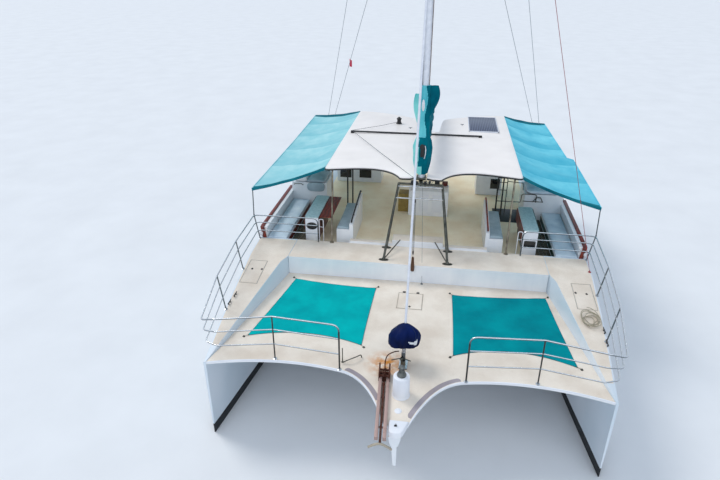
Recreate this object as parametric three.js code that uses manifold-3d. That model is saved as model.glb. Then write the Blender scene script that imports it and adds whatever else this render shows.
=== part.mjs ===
// Day-charter sailing catamaran, about 15 m on deck.
// Millimetres, +X to the bow, +Y to port, +Z up.
// The origin is on the waterline and the centreline, straight below the two bows.
import * as THREE from 'three';
import { mergeVertices } from 'three/addons/utils/BufferGeometryUtils.js';
import Module from 'manifold-3d';

const wasm = await Module();
wasm.setup();

// Driving dimensions
const DECK = 2000; // foredeck above the water
const RAISED = 2500; // beam deck behind the foredeck
const SOLE = 2250; // cockpit sole
const UNDERSIDE = 1150; // bridge deck bottom
const RECESS_X = -4000; // riser between the foredeck and the beam deck
const COCKPIT_X = -5050; // aft edge of the beam deck
const FURNITURE_X = -5350; // front of the cockpit furniture
const DECK_END_X = -13200; // aft end of the bridge deck
const STEP_X = -14250; // first of the steps down to the transoms
const STERN_X = -15000;
const RISER_Y = 3400; // inboard edge of the side decks along the cockpit
const ROOF_Z = 4380; // underside of the roof
const ROOF_HALF = 2700;
const ROOF_FRONT_X = -5720;
const ROOF_AFT_X = -12400;
const AWNING_Y = 4600; // outer edge of the awnings
const AWNING_Z = 3980;
const MAST_X = -5500;
const MAST_FOOT = 4420;
const MASTHEAD = 19000;
const HOUNDS = 13400; // where forestay and backstays meet the mast
const BOOM_Z = 5050;
const BOOM_PIN_X = -5665;
const BOOM_END_X = -12350;
const GAP = 0.3; // between touching pieces

// Materials
const paint = (color, roughness, metalness = 0) =>
  new THREE.MeshStandardMaterial({ color, roughness, metalness });
const GELCOAT = paint(0xe9edf0, 0.35);
const NONSKID = paint(0xe3dccb, 0.8);
const STEEL = paint(0xb9bec2, 0.25, 1);
const DARK_STEEL = paint(0x4a4f52, 0.4, 0.9);
const ALLOY = paint(0xd9dde0, 0.4, 0.8);
const TEAL = paint(0x00a3a8, 0.85);
const TURQUOISE = paint(0x6cc8d6, 0.8);
const DARK_TEAL = paint(0x007a88, 0.85);
const NAVY = paint(0x0b1f5c, 0.8);
const CUSHION = paint(0x9db4c0, 0.7);
const MAHOGANY = paint(0x7a2a18, 0.4);
const RUST = paint(0x6b4636, 0.9, 0.4);
const BRONZE = paint(0x9a7b3c, 0.4, 1);
const BLACK = paint(0x1b1c1e, 0.5);
const SOLAR = paint(0x1b2740, 0.2, 0.2);
const ROPE = paint(0xb8b29c, 0.9);

// Solids
function solid(geometry) {
  const bare = geometry.clone();
  bare.deleteAttribute('normal');
  bare.deleteAttribute('uv');
  const merged = mergeVertices(bare, 1e-2);
  const triVerts = new Uint32Array(merged.index.array);
  const p = merged.attributes.position;
  let volume = 0;
  const a = new THREE.Vector3();
  const b = new THREE.Vector3();
  const c = new THREE.Vector3();
  for (let i = 0; i < triVerts.length; i += 3) {
    a.fromBufferAttribute(p, triVerts[i]);
    b.fromBufferAttribute(p, triVerts[i + 1]);
    c.fromBufferAttribute(p, triVerts[i + 2]);
    volume += a.dot(b.cross(c));
  }
  if (volume < 0) {
    for (let i = 0; i < triVerts.length; i += 3) {
      [triVerts[i], triVerts[i + 1]] = [triVerts[i + 1], triVerts[i]];
    }
  }
  const mesh = new wasm.Mesh({ numProp: 3, vertProperties: new Float32Array(p.array), triVerts });
  return new wasm.Manifold(mesh);
}

const join = (...parts) => parts.flat().reduce((sum, part) => sum.add(part));

function box(x0, x1, y0, y1, z0, z1) {
  const g = new THREE.BoxGeometry(Math.abs(x1 - x0), Math.abs(y1 - y0), Math.abs(z1 - z0));
  g.translate((x0 + x1) / 2, (y0 + y1) / 2, (z0 + z1) / 2);
  return solid(g);
}

// A flat outline of [x, y] points, raised from z0 to z1
function slab(outline, z0, z1) {
  const shape = new THREE.Shape(outline.map(([x, y]) => new THREE.Vector2(x, y)));
  const g = new THREE.ExtrudeGeometry(shape, { depth: z1 - z0, bevelEnabled: false });
  g.translate(0, 0, z0);
  return solid(g);
}

// A skin through rings of [x, y, z] points, all with as many points, closed at both ends
function loft(rings) {
  const n = rings[0].length;
  const position = rings.flat(2);
  const index = [];
  for (let r = 0; r + 1 < rings.length; r++) {
    for (let i = 0; i < n; i++) {
      const j = (i + 1) % n;
      const [p, q, s, t] = [r * n + i, r * n + j, (r + 1) * n + i, (r + 1) * n + j];
      index.push(p, q, s, q, t, s);
    }
  }
  const cap = (first, flip) => {
    const ring = rings[first / n];
    const flat = ring.map(([x, y, z]) => new THREE.Vector2(y + x * 1e-3, z + x * 1e-3));
    for (const [i, j, k] of THREE.ShapeUtils.triangulateShape(flat, [])) {
      index.push(first + i, first + (flip ? k : j), first + (flip ? j : k));
    }
  };
  const turn = THREE.ShapeUtils.area(rings[0].map(([x, y, z]) => new THREE.Vector2(y, z))) > 0;
  cap(0, turn);
  cap((rings.length - 1) * n, !turn);
  const g = new THREE.BufferGeometry();
  g.setAttribute('position', new THREE.Float32BufferAttribute(position, 3));
  g.setIndex(index);
  return solid(g);
}

// A round rod from one [x, y, z] point to another, longer at each end by extra
function rod(from, to, radius, sides = 8, extra = 0) {
  const a = new THREE.Vector3(...from);
  const b = new THREE.Vector3(...to);
  const way = b.clone().sub(a).normalize();
  const g = new THREE.CylinderGeometry(radius, radius, a.distanceTo(b) + 2 * extra, sides);
  g.applyQuaternion(new THREE.Quaternion().setFromUnitVectors(new THREE.Vector3(0, 1, 0), way));
  g.translate(...a.add(b).multiplyScalar(0.5).toArray());
  return solid(g);
}

// A rod of a welded frame, which runs on into its neighbours at each end
const bar = (from, to, radius, sides = 8) => rod(from, to, radius, sides, 0.9 * radius);

const bars = (points, radius, sides) =>
  points.slice(1).map((point, i) => bar(points[i], point, radius, sides));

// A turned solid about a vertical axis through [x, y], from [radius, z] profile points
function turned(profile, x, y, sides = 16) {
  const points = profile.map(([r, z]) => new THREE.Vector2(r, z));
  const g = new THREE.LatheGeometry(points, sides);
  g.rotateX(Math.PI / 2);
  g.translate(x, y, 0);
  return solid(g);
}

function geometryOf(manifold) {
  const mesh = manifold.getMesh();
  const g = new THREE.BufferGeometry();
  g.setAttribute('position', new THREE.Float32BufferAttribute(mesh.vertProperties, 3));
  g.setIndex(new THREE.Uint32BufferAttribute(mesh.triVerts, 1));
  return g;
}

// The same solid on the other side of the centreline
function mirrored(geometry) {
  const g = geometry.clone();
  g.scale(1, -1, 1);
  const index = g.index.array;
  for (let i = 0; i < index.length; i += 3) {
    [index[i], index[i + 1]] = [index[i + 1], index[i]];
  }
  return g;
}

const boat = new THREE.Group();

function add(name, manifold, material) {
  const mesh = new THREE.Mesh(geometryOf(manifold), material);
  mesh.name = name;
  mesh.geometry.computeVertexNormals();
  boat.add(mesh);
  return mesh;
}

function addPair(name, manifold, material) {
  add(`${name}_port`, manifold, material);
  const other = new THREE.Mesh(mirrored(geometryOf(manifold)), material);
  other.name = `${name}_starboard`;
  boat.add(other);
}

// Hulls, with the side decks on top.
// Columns: x, inner y at the water, outer y, inner y at the deck, keel z, top z
const STATIONS = [
  [0, 4170, 4215, 4160, -120, 2000],
  [-800, 4060, 4290, 4000, -380, 2100],
  [-2300, 3860, 4400, 3720, -520, 2290],
  [RECESS_X, 3640, 4490, RISER_Y, -580, RAISED],
  [COCKPIT_X, 3560, 4530, RISER_Y, -600, RAISED],
  [COCKPIT_X - 4, 3560, 4530, RISER_Y, -600, SOLE],
  [-9000, 3420, 4580, RISER_Y, -600, SOLE],
  [DECK_END_X, 3470, 4560, RISER_Y, -420, SOLE],
  [STEP_X, 3500, 4530, RISER_Y, -300, SOLE],
  [STEP_X - 4, 3500, 4530, RISER_Y, -300, 1650],
  [STEP_X - 250, 3510, 4520, RISER_Y, -270, 1650],
  [STEP_X - 254, 3510, 4520, RISER_Y, -270, 1050],
  [STEP_X - 500, 3525, 4510, RISER_Y, -235, 1050],
  [STEP_X - 504, 3525, 4510, RISER_Y, -235, 450],
  [STERN_X, 3540, 4500, RISER_Y, -200, 450],
];
const hullRing = ([x, innerWater, outer, innerDeck, keel, top]) => {
  const mid = (innerWater + outer) / 2;
  const half = (outer - innerWater) / 2;
  const flareZ = Math.min(1600, top - 100);
  return [
    [x, mid, keel],
    [x, mid + 0.72 * half, 0.72 * keel],
    [x, outer - 20, 100],
    [x, outer, top],
    [x, innerDeck, top],
    [x, innerDeck, flareZ],
    [x, innerWater, 100],
    [x, mid - 0.72 * half, 0.72 * keel],
  ];
};
const KEEL_Y = 4000;
const keel = slab([[-6200, KEEL_Y - 20], [-7200, KEEL_Y - 75], [-9600, KEEL_Y - 20],
  [-9600, KEEL_Y + 20], [-7200, KEEL_Y + 75], [-6200, KEEL_Y + 20]], -1050, -450);
const SHAFT = { y: 4010, z: -740, startZ: -480, from: -10800, to: -12150 };
const shaft = join(
  rod([SHAFT.from, SHAFT.y, SHAFT.startZ], [SHAFT.to, SHAFT.y, SHAFT.z], 16),
  box(-11960, -11890, SHAFT.y - 12, SHAFT.y + 12, SHAFT.z + 25, -330),
);
const RUDDER = { x: -14330, y: 4015, top: -420, bottom: -1080, stock: 24, bearing: -340 };
const rudderBearing = rod([RUDDER.x, RUDDER.y, 0], [RUDDER.x, RUDDER.y, RUDDER.bearing], 45, 12);
addPair('hull', join(loft(STATIONS.map(hullRing)), keel, shaft, rudderBearing), GELCOAT);

// A column of the station table at x
function stationAt(x, column) {
  const i = STATIONS.findIndex((row) => row[0] <= x);
  if (i < 1) return STATIONS[0][column];
  const [before, after] = [STATIONS[i - 1], STATIONS[i]];
  const share = (x - before[0]) / (after[0] - before[0]);
  return before[column] + share * (after[column] - before[column]);
}
const innerDeckAt = (x) => stationAt(x, 3);
const deckTopAt = (x) => stationAt(x, 5);

// Foredeck with its scalloped front edge and the nose
const NOSE_X = 1420;
const frontEdge = new THREE.CurvePath();
const at = (x, y) => new THREE.Vector2(x, y);
frontEdge.add(new THREE.QuadraticBezierCurve(at(-10, 4155), at(-480, 2650), at(-170, 1250)));
frontEdge.add(new THREE.QuadraticBezierCurve(at(-170, 1250), at(0, 640), at(1180, 235)));
frontEdge.add(new THREE.LineCurve(at(1180, 235), at(1250, 130)));
frontEdge.add(new THREE.LineCurve(at(1250, 130), at(NOSE_X, 95)));
const edgePoints = [];
for (const [curve, steps] of frontEdge.curves.map((c, i) => [c, [10, 10, 1, 1][i]])) {
  for (let i = 0; i < steps; i++) {
    const p = curve.getPoint(i / steps);
    edgePoints.push([p.x, p.y]);
  }
}
edgePoints.push([NOSE_X, 95]);
const sideEdge = [RECESS_X + GAP, -2300, -800].map((x) => [x, innerDeckAt(x) - GAP]);
const halfOutline = [...sideEdge, ...edgePoints];
const fullOutline = [...halfOutline, ...halfOutline.map(([x, y]) => [x, -y]).reverse()];
const foredeckCore = slab([[-900, 3900], [RECESS_X + GAP, RISER_Y - GAP], [RECESS_X + GAP, -RISER_Y + GAP],
  [-900, -3900]], 1500, DECK - 10);
const spine = loft([
  [[1300, -80, DECK - 20], [1300, 80, DECK - 20], [1300, 60, 1760], [1300, -60, 1760]],
  [[0, -160, DECK - 20], [0, 160, DECK - 20], [0, 110, 1500], [0, -110, 1500]],
  [[RECESS_X + GAP, -300, DECK - 20], [RECESS_X + GAP, 300, DECK - 20], [RECESS_X + GAP, 220, 1250],
    [RECESS_X + GAP, -220, 1250]],
]);
// Columns: x, half width at the deck, half width at the foot, z of the foot
const FIN = [
  [NOSE_X, 60, 50, 1700],
  [1180, 50, 30, 930],
  [900, 40, 20, 1500],
];
const fin = loft(FIN.map(([x, top, foot, z]) => [
  [x, -top, DECK - 20], [x, top, DECK - 20], [x, foot, z], [x, -foot, z],
]));
add('foredeck', join(slab(fullOutline, DECK - 80, DECK), foredeckCore, spine, fin), NONSKID);

// Beam deck and cockpit sole between the hulls
const bridgeHalf = RISER_Y - GAP;
const bridgeDeck = join(
  box(RECESS_X, COCKPIT_X, -bridgeHalf, bridgeHalf, UNDERSIDE, RAISED),
  box(COCKPIT_X + 10, DECK_END_X, -bridgeHalf, bridgeHalf, UNDERSIDE, SOLE),
  box(COCKPIT_X - 140, COCKPIT_X + 10, -1900, 1900, SOLE - 10, RAISED + 70),
  box(COCKPIT_X - 380, COCKPIT_X + 10, -700, 700, SOLE - 10, RAISED + 180),
);
add('bridge_deck', bridgeDeck, NONSKID);

// Cockpit sides: bulwark with its wooden cap, and the outboard bench with a white locker behind it
const BENCH = { inner: 3720, outer: 4300, seat: 2470, aft: -8000 };
const SIDE_LOCKER = { inner: 3150, aft: -9100, top: 3120 };
const BULWARK = { inner: 4300, outer: 4470, top: 2780, front: COCKPIT_X - 10, aft: STEP_X + 20 };
const CAP = { top: 2825, aft: -8400 };
const cockpitSide = join(
  box(BULWARK.front, BULWARK.aft, BULWARK.inner, BULWARK.outer, SOLE + GAP, BULWARK.top),
  box(BULWARK.front, CAP.aft, BULWARK.inner - 20, BULWARK.outer + 25, BULWARK.top - 10, CAP.top),
  box(BULWARK.front, BENCH.aft, BENCH.inner, BULWARK.inner + 10, SOLE + GAP, BENCH.seat),
  box(BENCH.aft + 10, SIDE_LOCKER.aft, SIDE_LOCKER.inner, BULWARK.inner + 10, SOLE + GAP, SIDE_LOCKER.top),
);
addPair('cockpit_side', cockpitSide, GELCOAT);
const CUSHION_THICK = 70;
addPair('bench_cushion', box(BULWARK.front - 40, BENCH.aft + 40, BENCH.inner + 10, BULWARK.inner - 30,
  BENCH.seat + GAP, BENCH.seat + CUSHION_THICK), CUSHION);

// Drop-leaf table lockers, each with two wooden leaves
const TABLE = { inner: 2850, outer: 3250, top: 3090, slab: 34, front: FURNITURE_X, aft: -7000 };
const LEAF = { width: 375, thick: 24, inset: 40, pin: 3, barrel: 3.9 };
const leafPinZ = TABLE.top - LEAF.thick - LEAF.pin;
const barrel = (y) =>
  rod([TABLE.front - 60, y, leafPinZ], [TABLE.aft + 60, y, leafPinZ], LEAF.barrel, 12);
addPair('table', join(
  box(TABLE.front - 30, TABLE.aft + 30, TABLE.inner + 60, TABLE.outer - 60, SOLE + GAP, TABLE.top - 20),
  box(TABLE.front, TABLE.aft, TABLE.inner, TABLE.outer, TABLE.top - TABLE.slab, TABLE.top),
  barrel(TABLE.inner - LEAF.pin),
  barrel(TABLE.outer + LEAF.pin),
), CUSHION);
// Columns: name, side, which edge of the table, whether it is up
const LEAVES = [
  ['leaf_inner_starboard', -1, 'inner', true],
  ['leaf_outer_starboard', -1, 'outer', false],
  ['leaf_inner_port', 1, 'inner', false],
  ['leaf_outer_port', 1, 'outer', false],
];
for (const [name, side, edge, up] of LEAVES) {
  const away = edge === 'inner' ? -1 : 1;
  const y = TABLE[edge] + away * 2 * LEAF.pin;
  const x0 = TABLE.front - LEAF.inset;
  const x1 = TABLE.aft + LEAF.inset;
  const leaf = up
    ? box(x0, x1, y, y + away * LEAF.width, TABLE.top - LEAF.thick, TABLE.top)
    : box(x0, x1, y, y + away * LEAF.thick, leafPinZ - LEAF.pin - LEAF.width, leafPinZ - LEAF.pin);
  const mesh = add(name, leaf, MAHOGANY);
  if (side < 0) mesh.geometry = mirrored(mesh.geometry);
}

// Inboard benches with a back to the centreline
const INBENCH = { inner: 1850, outer: 2330, seat: 2760, thick: 110, front: FURNITURE_X, aft: -7200 };
// The back drops towards the bow. Columns: x, top
const BACK_TOP = [
  [INBENCH.aft, 3170],
  [-5800, 2990],
  [INBENCH.front, 2925],
];
const backRing = ([x, top]) => [
  [x, INBENCH.inner, SOLE + GAP],
  [x, INBENCH.inner + INBENCH.thick, SOLE + GAP],
  [x, INBENCH.inner + INBENCH.thick, top],
  [x, INBENCH.inner, top],
];
addPair('inboard_bench', join(
  box(INBENCH.front, INBENCH.aft, INBENCH.inner + 100, INBENCH.outer, SOLE + GAP, INBENCH.seat),
  loft(BACK_TOP.map(backRing)),
), GELCOAT);
addPair('inboard_cushion', box(INBENCH.front - 20, INBENCH.aft + 20, INBENCH.inner + 120,
  INBENCH.outer - 10, INBENCH.seat + GAP, INBENCH.seat + CUSHION_THICK), CUSHION);

// Centre console with the wheel on its aft side, and the lockers across the aft end of the cockpit
const CONSOLE = { front: -7800, aft: -8500, port: 800, starboard: -450, top: 3100 };
const WHEEL = { y: 175, z: 2950, radius: 330, x: CONSOLE.aft - 120 };
add('console', join(
  box(CONSOLE.front, CONSOLE.aft, CONSOLE.starboard, CONSOLE.port, SOLE + GAP, CONSOLE.top),
  rod([CONSOLE.aft + 20, WHEEL.y, WHEEL.z], [WHEEL.x + 20.5, WHEEL.y, WHEEL.z], 32, 12),
), GELCOAT);
function wheelSolid() {
  const rim = new THREE.TorusGeometry(WHEEL.radius, 16, 6, 20);
  rim.rotateY(Math.PI / 2);
  rim.translate(WHEEL.x, WHEEL.y, WHEEL.z);
  const spokes = [0, 1, 2].map((k) => {
    const a = (k * Math.PI) / 3;
    const [dy, dz] = [WHEEL.radius * Math.cos(a), WHEEL.radius * Math.sin(a)];
    return bar([WHEEL.x, WHEEL.y - dy, WHEEL.z - dz], [WHEEL.x, WHEEL.y + dy, WHEEL.z + dz], 8, 6);
  });
  const hub = rod([WHEEL.x - 20, WHEEL.y, WHEEL.z], [WHEEL.x + 20, WHEEL.y, WHEEL.z], 40, 12);
  return join(solid(rim), spokes, hub);
}
add('helm_wheel', wheelSolid(), STEEL);
// Columns: name, x of the front, x of the back, lower y, higher y
const AFT_LOCKERS = [
  ['aft_locker_port', -9950, -10750, 1750, 2620],
  ['aft_locker_starboard', -10600, -11400, -3300, -1650],
];
const AFT_LOCKER_TOP = 3150;
for (const [name, front, back, y0, y1] of AFT_LOCKERS) {
  add(name, box(front, back, y0, y1, SOLE + GAP, AFT_LOCKER_TOP), GELCOAT);
}

// Roof with a waved front edge each side of the mast and a bay in its aft edge, on a tubular frame
const ROOF_TOP = ROOF_Z + 70;
const roofHalf = [[-9750, 0], [-9750, 380], [-11300, 470], [-11480, 560], [-11650, 800], [-11950, 1300],
  [-12200, 1800], [ROOF_AFT_X, 2500], [ROOF_AFT_X, ROOF_HALF]];
const roofFront = new THREE.CubicBezierCurve(at(ROOF_FRONT_X, ROOF_HALF), at(-5850, 1900), at(-6180, 950),
  at(-5220, 550));
for (const p of roofFront.getPoints(10)) roofHalf.push([p.x, p.y]);
const roofOutline = [...roofHalf, ...roofHalf.slice(1).map(([x, y]) => [x, -y]).reverse()];
const mastHole = box(MAST_X - 300, MAST_X + 180, -160, 160, ROOF_Z - 100, ROOF_Z + 200);
add('roof', slab(roofOutline, ROOF_Z, ROOF_TOP).subtract(mastHole), GELCOAT);

// Posts under the roof. Columns: x at the foot, x at the head, y of the foot, y of the head, z of the foot
const POSTS = [
  [-5005, -5790, 2400, 2500, RAISED],
  [-8250, -8300, 2500, 2500, SOLE],
  [-8250, -8300, 2330, 2330, SOLE],
  [-12200, -12250, 2500, 2500, SOLE],
];
const POST_R = 24;
const FRAME = { r: 25, y: 2500, front: -5770, aft: -12300 };
const FRAME_Z = ROOF_Z - FRAME.r - 1 - GAP;
const roofFrame = [];
for (const side of [1, -1]) {
  for (const [foot, head, footY, headY, z] of POSTS) {
    const lean = Math.hypot(foot - head, footY - headY);
    const drop = (POST_R * lean) / Math.hypot(lean, FRAME_Z - z);
    roofFrame.push(rod([foot, side * footY, z + GAP + drop], [head, side * headY, FRAME_Z], POST_R));
  }
  roofFrame.push(bar([FRAME.front, side * FRAME.y, FRAME_Z], [FRAME.aft, side * FRAME.y, FRAME_Z], FRAME.r));
}
for (const x of [-6100, -8300, -9600]) {
  roofFrame.push(bar([x, -FRAME.y, FRAME_Z], [x, FRAME.y, FRAME_Z], FRAME.r));
}
add('roof_frame', join(roofFrame), DARK_STEEL);

// Mast support: a leg from each of four feet to the beam under the mast
const SUPPORT = { front: -4180, aft: -4900, footY: 840, headX: -5230, headY: 580, pad: 24 };
const headZ = MAST_FOOT - 70;
const support = [];
for (const side of [1, -1]) {
  for (const foot of [SUPPORT.front, SUPPORT.aft]) {
    support.push(rod([foot, side * SUPPORT.footY, RAISED + SUPPORT.pad],
      [SUPPORT.headX, side * SUPPORT.headY, headZ - 60], 32));
    support.push(box(foot - 60, foot + 60, side * SUPPORT.footY - 130, side * SUPPORT.footY + 130,
      RAISED + GAP, RAISED + SUPPORT.pad + 10));
  }
}
for (const [x, z, r] of [[SUPPORT.headX, headZ - 60, 30], [-5020, 3960, 20]]) {
  support.push(bar([x, -SUPPORT.headY - 20, z], [x, SUPPORT.headY + 20, z], r));
}
support.push(bar([SUPPORT.headX, 0, headZ - 60], [MAST_X, 0, headZ - 40], 45));
support.push(box(MAST_X - 140, MAST_X + 140, -130, 130, MAST_FOOT - 60, MAST_FOOT - GAP));
support.push(box(MAST_X - 60, MAST_X + 60, -60, 60, MAST_FOOT - 170, MAST_FOOT - 40));
add('mast_support', join(support), DARK_STEEL);

// The line of the forestay
const STAY_FOOT = new THREE.Vector3(-560, 0, 2430);
const STAY_HEAD = new THREE.Vector3(MAST_X + 150, 0, HOUNDS);
const along = STAY_HEAD.clone().sub(STAY_FOOT).normalize();
const onStay = (d) => STAY_FOOT.clone().addScaledVector(along, d).toArray();
const stayLength = STAY_FOOT.distanceTo(STAY_HEAD);

// Mast with its gooseneck lug and tangs
const MAST = { long: 120, wide: 88 }; // half lengths of its oval
const mastOutline = Array.from({ length: 16 }, (_, k) => {
  const a = (k * Math.PI) / 8;
  return [MAST_X + MAST.long * Math.cos(a), MAST.wide * Math.sin(a)];
});
const PIN = 11;
const pinRod = (radius, half) =>
  turned([[0, BOOM_Z - half], [radius, BOOM_Z - half], [radius, BOOM_Z + half], [0, BOOM_Z + half]],
    BOOM_PIN_X, 0, 16);
const lug = box(MAST_X - 100, BOOM_PIN_X - 26, -28, 28, BOOM_Z - 14, BOOM_Z + 14)
  .subtract(pinRod(PIN + 0.5, 40));
const tang = join(
  box(MAST_X + 100, MAST_X + 160, -10, 10, HOUNDS - 40, HOUNDS + 40),
  rod(onStay(stayLength - 100), onStay(stayLength), 9),
);
const crane = box(MAST_X - 190, MAST_X + 60, -8, 8, MASTHEAD - 10, MASTHEAD + 60);
add('mast', join(slab(mastOutline, MAST_FOOT, MASTHEAD), lug, tang, crane), ALLOY);

// Boom, forked round the lug
const boom = join(
  box(BOOM_PIN_X - 60, BOOM_END_X, -65, 65, BOOM_Z - 80, BOOM_Z + 80),
  box(BOOM_PIN_X + 22, BOOM_PIN_X - 70, -24, 24, BOOM_Z + 16, BOOM_Z + 30),
  box(BOOM_PIN_X + 22, BOOM_PIN_X - 70, -24, 24, BOOM_Z - 30, BOOM_Z - 16),
  pinRod(PIN, 28),
);
add('boom', boom, ALLOY);

// Sail cover on the boom. Columns: x, half width, height above the boom
const COVER = [
  [-5790, 110, 560],
  [-6600, 190, 500],
  [-9500, 180, 400],
  [-12250, 110, 240],
];
const coverFoot = BOOM_Z + 80 + GAP;
add('boom_cover', loft(COVER.map(([x, w, h]) => {
  const shoulder = coverFoot + 0.8 * h;
  const belly = coverFoot + 0.25 * h;
  return [[x, -60, coverFoot], [x, -w, belly], [x, -0.7 * w, shoulder], [x, 0, coverFoot + h],
    [x, 0.7 * w, shoulder], [x, w, belly], [x, 60, coverFoot]];
})), DARK_TEAL);

// Collar of the sail cover round the front of the mast, with a flap out to each side at its top.
// Columns: z, outer radius
const COLLAR = [
  [4520, 140],
  [4800, 215],
  [5150, 240],
  [5400, 220],
  [5600, 145],
  [6300, 140],
  [6850, 150],
];
const FLAP = [[100, 6000], [190, 6250], [310, 6780], [100, 6840]]; // y, z of its corners
const flap = (side) => loft([0, 14].map((x) => FLAP.map(([y, z]) => [MAST_X + x, side * y, z])));
const collarSteps = 8;
const collarRings = COLLAR.map(([z, r]) => {
  const ring = [];
  for (let k = 0; k <= collarSteps; k++) {
    const a = -Math.PI / 2 + (k * Math.PI) / collarSteps;
    ring.push([MAST_X + r * Math.cos(a), r * Math.sin(a), z]);
  }
  for (let k = collarSteps; k >= 0; k--) {
    const a = -Math.PI / 2 + (k * Math.PI) / collarSteps;
    ring.push([MAST_X + (MAST.long + 1) * Math.cos(a), (MAST.wide + 1) * Math.sin(a), z]);
  }
  return ring;
});
function upright(rings) {
  // The loft helper closes its ends in the y-z plane, so the rings are stood on end for it
  const lying = rings.map((ring) => ring.map(([x, y, z]) => [z, y, -x]));
  const g = geometryOf(loft(lying));
  g.rotateY(-Math.PI / 2);
  return solid(g);
}
add('mast_cover', join(upright(collarRings), flap(1), flap(-1)), DARK_TEAL);

// Standing rigging on each side. Columns: name, foot x, foot y, head z
const STAYS = [
  ['shroud', -13600, 4410, MASTHEAD - 150],
  ['backstay', -14150, 4340, HOUNDS + 60],
];
const stayRod = (x, y, z, radius) =>
  rod([x, y, BULWARK.top + 40], [MAST_X - 10, MAST.wide + 10, z], radius, 8);
for (const [name, x, y, z] of STAYS) {
  const wire = stayRod(x, y, z, 8);
  const plate = box(x - 70, x + 70, y - 30, y + 30, BULWARK.top + GAP, BULWARK.top + 60);
  addPair(name, join(wire, plate), STEEL);
}

// Forestay foil and furling drum, which turn about the stay
add('forestay', join(
  rod(onStay(60), onStay(stayLength - 100.4), 27, 8),
  rod(onStay(60), onStay(200), 120, 16),
), ALLOY);
function aboutStay(profile, sides) {
  const g = new THREE.LatheGeometry(profile.map(([r, d]) => new THREE.Vector2(r, d)), sides);
  g.applyQuaternion(new THREE.Quaternion().setFromUnitVectors(new THREE.Vector3(0, 1, 0), along));
  g.translate(...STAY_FOOT.toArray());
  return solid(g);
}
const FOIL_R = 27;
const bagProfile = [[FOIL_R + 0.8, 210], [140, 215], [140, 40], [240, 20], [310, 180], [280, 380],
  [FOIL_R + 0.8, 520], [FOIL_R + 0.8, 210]];
add('furler_bag', aboutStay(bagProfile, 16), NAVY);
const FITTING_TOP = DECK + 380;
add('stem_fitting', join(
  box(-640, -440, -40, 40, DECK + GAP, FITTING_TOP),
  box(-700, -380, -90, 90, DECK + GAP, DECK + 20),
  rod(onStay(-90), onStay(59.6), 12),
), STEEL);

// Bow gear: capstan on its pedestal, anchor channels with the seized chain stopper, anchor
const PEDESTAL = { x: 390, y: 30, radius: 160, top: DECK + 480 };
add('pedestal', turned([[0, DECK + GAP], [PEDESTAL.radius, DECK + GAP], [PEDESTAL.radius, PEDESTAL.top - 25],
  [PEDESTAL.radius - 30, PEDESTAL.top], [0, PEDESTAL.top]], PEDESTAL.x, PEDESTAL.y, 20), GELCOAT);
add('capstan', turned([[0, PEDESTAL.top + GAP], [95, PEDESTAL.top + GAP], [95, PEDESTAL.top + 40],
  [50, PEDESTAL.top + 80], [50, PEDESTAL.top + 150], [75, PEDESTAL.top + 220], [0, PEDESTAL.top + 230]],
PEDESTAL.x, PEDESTAL.y, 16), STEEL);
const CHANNEL = { aft: -80, front: 1640, width: 66, height: 90, spacing: 152 };
// The channels and the anchor's shank lie along one line, which runs aft and to starboard
const channelY = (x) => -234 - 0.066 * (CHANNEL.front - x);
const strip = (x0, x1, offset, half, z0, z1) => slab([
  [x0, channelY(x0) + offset - half], [x1, channelY(x1) + offset - half],
  [x1, channelY(x1) + offset + half], [x0, channelY(x0) + offset + half],
], z0, z1);
const channels = [1, -1].map((side) => strip(CHANNEL.aft, CHANNEL.front, (side * CHANNEL.spacing) / 2,
  CHANNEL.width / 2, DECK + GAP, DECK + CHANNEL.height));
add('anchor_channels', join(channels,
  strip(CHANNEL.aft - 130, CHANNEL.aft + 140, 0, 108, DECK + GAP, DECK + 230),
  strip(1300, 1340, 0, 110, DECK + GAP, DECK + 20)), RUST);
const CROWN = { x: 1730, half: 205, drop: 90, r: 22 };
const shankZ = [DECK + 20 + GAP, DECK + 84];
const crownY = channelY(CROWN.x);
add('anchor', join(
  strip(150, 1720, 0, 14, ...shankZ),
  [1, -1].map((side) => bar([CROWN.x - 30, crownY + side * CROWN.half, DECK + 30 - CROWN.drop],
    [CROWN.x, crownY, DECK + 30], CROWN.r, 8)),
), RUST);

// Rails: three tubes round the bow and along the side deck, to the front of the cockpit.
// Columns: x, y, deck z, top of the rail above the deck, its lean outwards, whether a post stands there
const RAIL = [
  [-180, 1300, DECK, 1105, 0, true],
  [-330, 2730, DECK, 1075, 0, true],
  [-110, 3900, DECK, 1035, 10, false],
  [-260, 4205, deckTopAt(-260), 860, 60, false],
  [-1700, 4320, deckTopAt(-1700), 900, 120, true],
  [-3300, 4430, deckTopAt(-3300), 800, 120, true],
  [-4960, 4490, RAISED, 720, 120, true],
];
const RAIL_R = 14;
const RAIL_SHARES = [0.36, 0.7, 1];
const railPoint = ([x, y, z, h, lean], share) => [x, y + lean * share, z + h * share];
const rail = [];
for (const share of RAIL_SHARES) {
  rail.push(...bars(RAIL.map((row) => railPoint(row, share)), RAIL_R, 6));
}
for (const row of RAIL.filter((r) => r[5])) {
  const slope = row[4] > 0 ? 0.35 : 0;
  const foot = [row[0], row[1], row[2] + GAP + slope * RAIL_R];
  rail.push(rod(foot, railPoint(row, RAIL_SHARES[0]), RAIL_R + 2, 6));
  rail.push(rod(railPoint(row, RAIL_SHARES[0]), railPoint(row, 1), RAIL_R + 2, 6));
}
const CROSS = { x: -4960, inner: 2780 };
const railEnd = RAIL[RAIL.length - 1];
for (const share of RAIL_SHARES) {
  const [, y, z] = railPoint(railEnd, share);
  rail.push(bar([CROSS.x, y, z], [CROSS.x, CROSS.inner, z], RAIL_R, 6));
}
const SOCKET = 30; // stub that holds the awning post
const railTop = railPoint(railEnd, 1);
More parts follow.
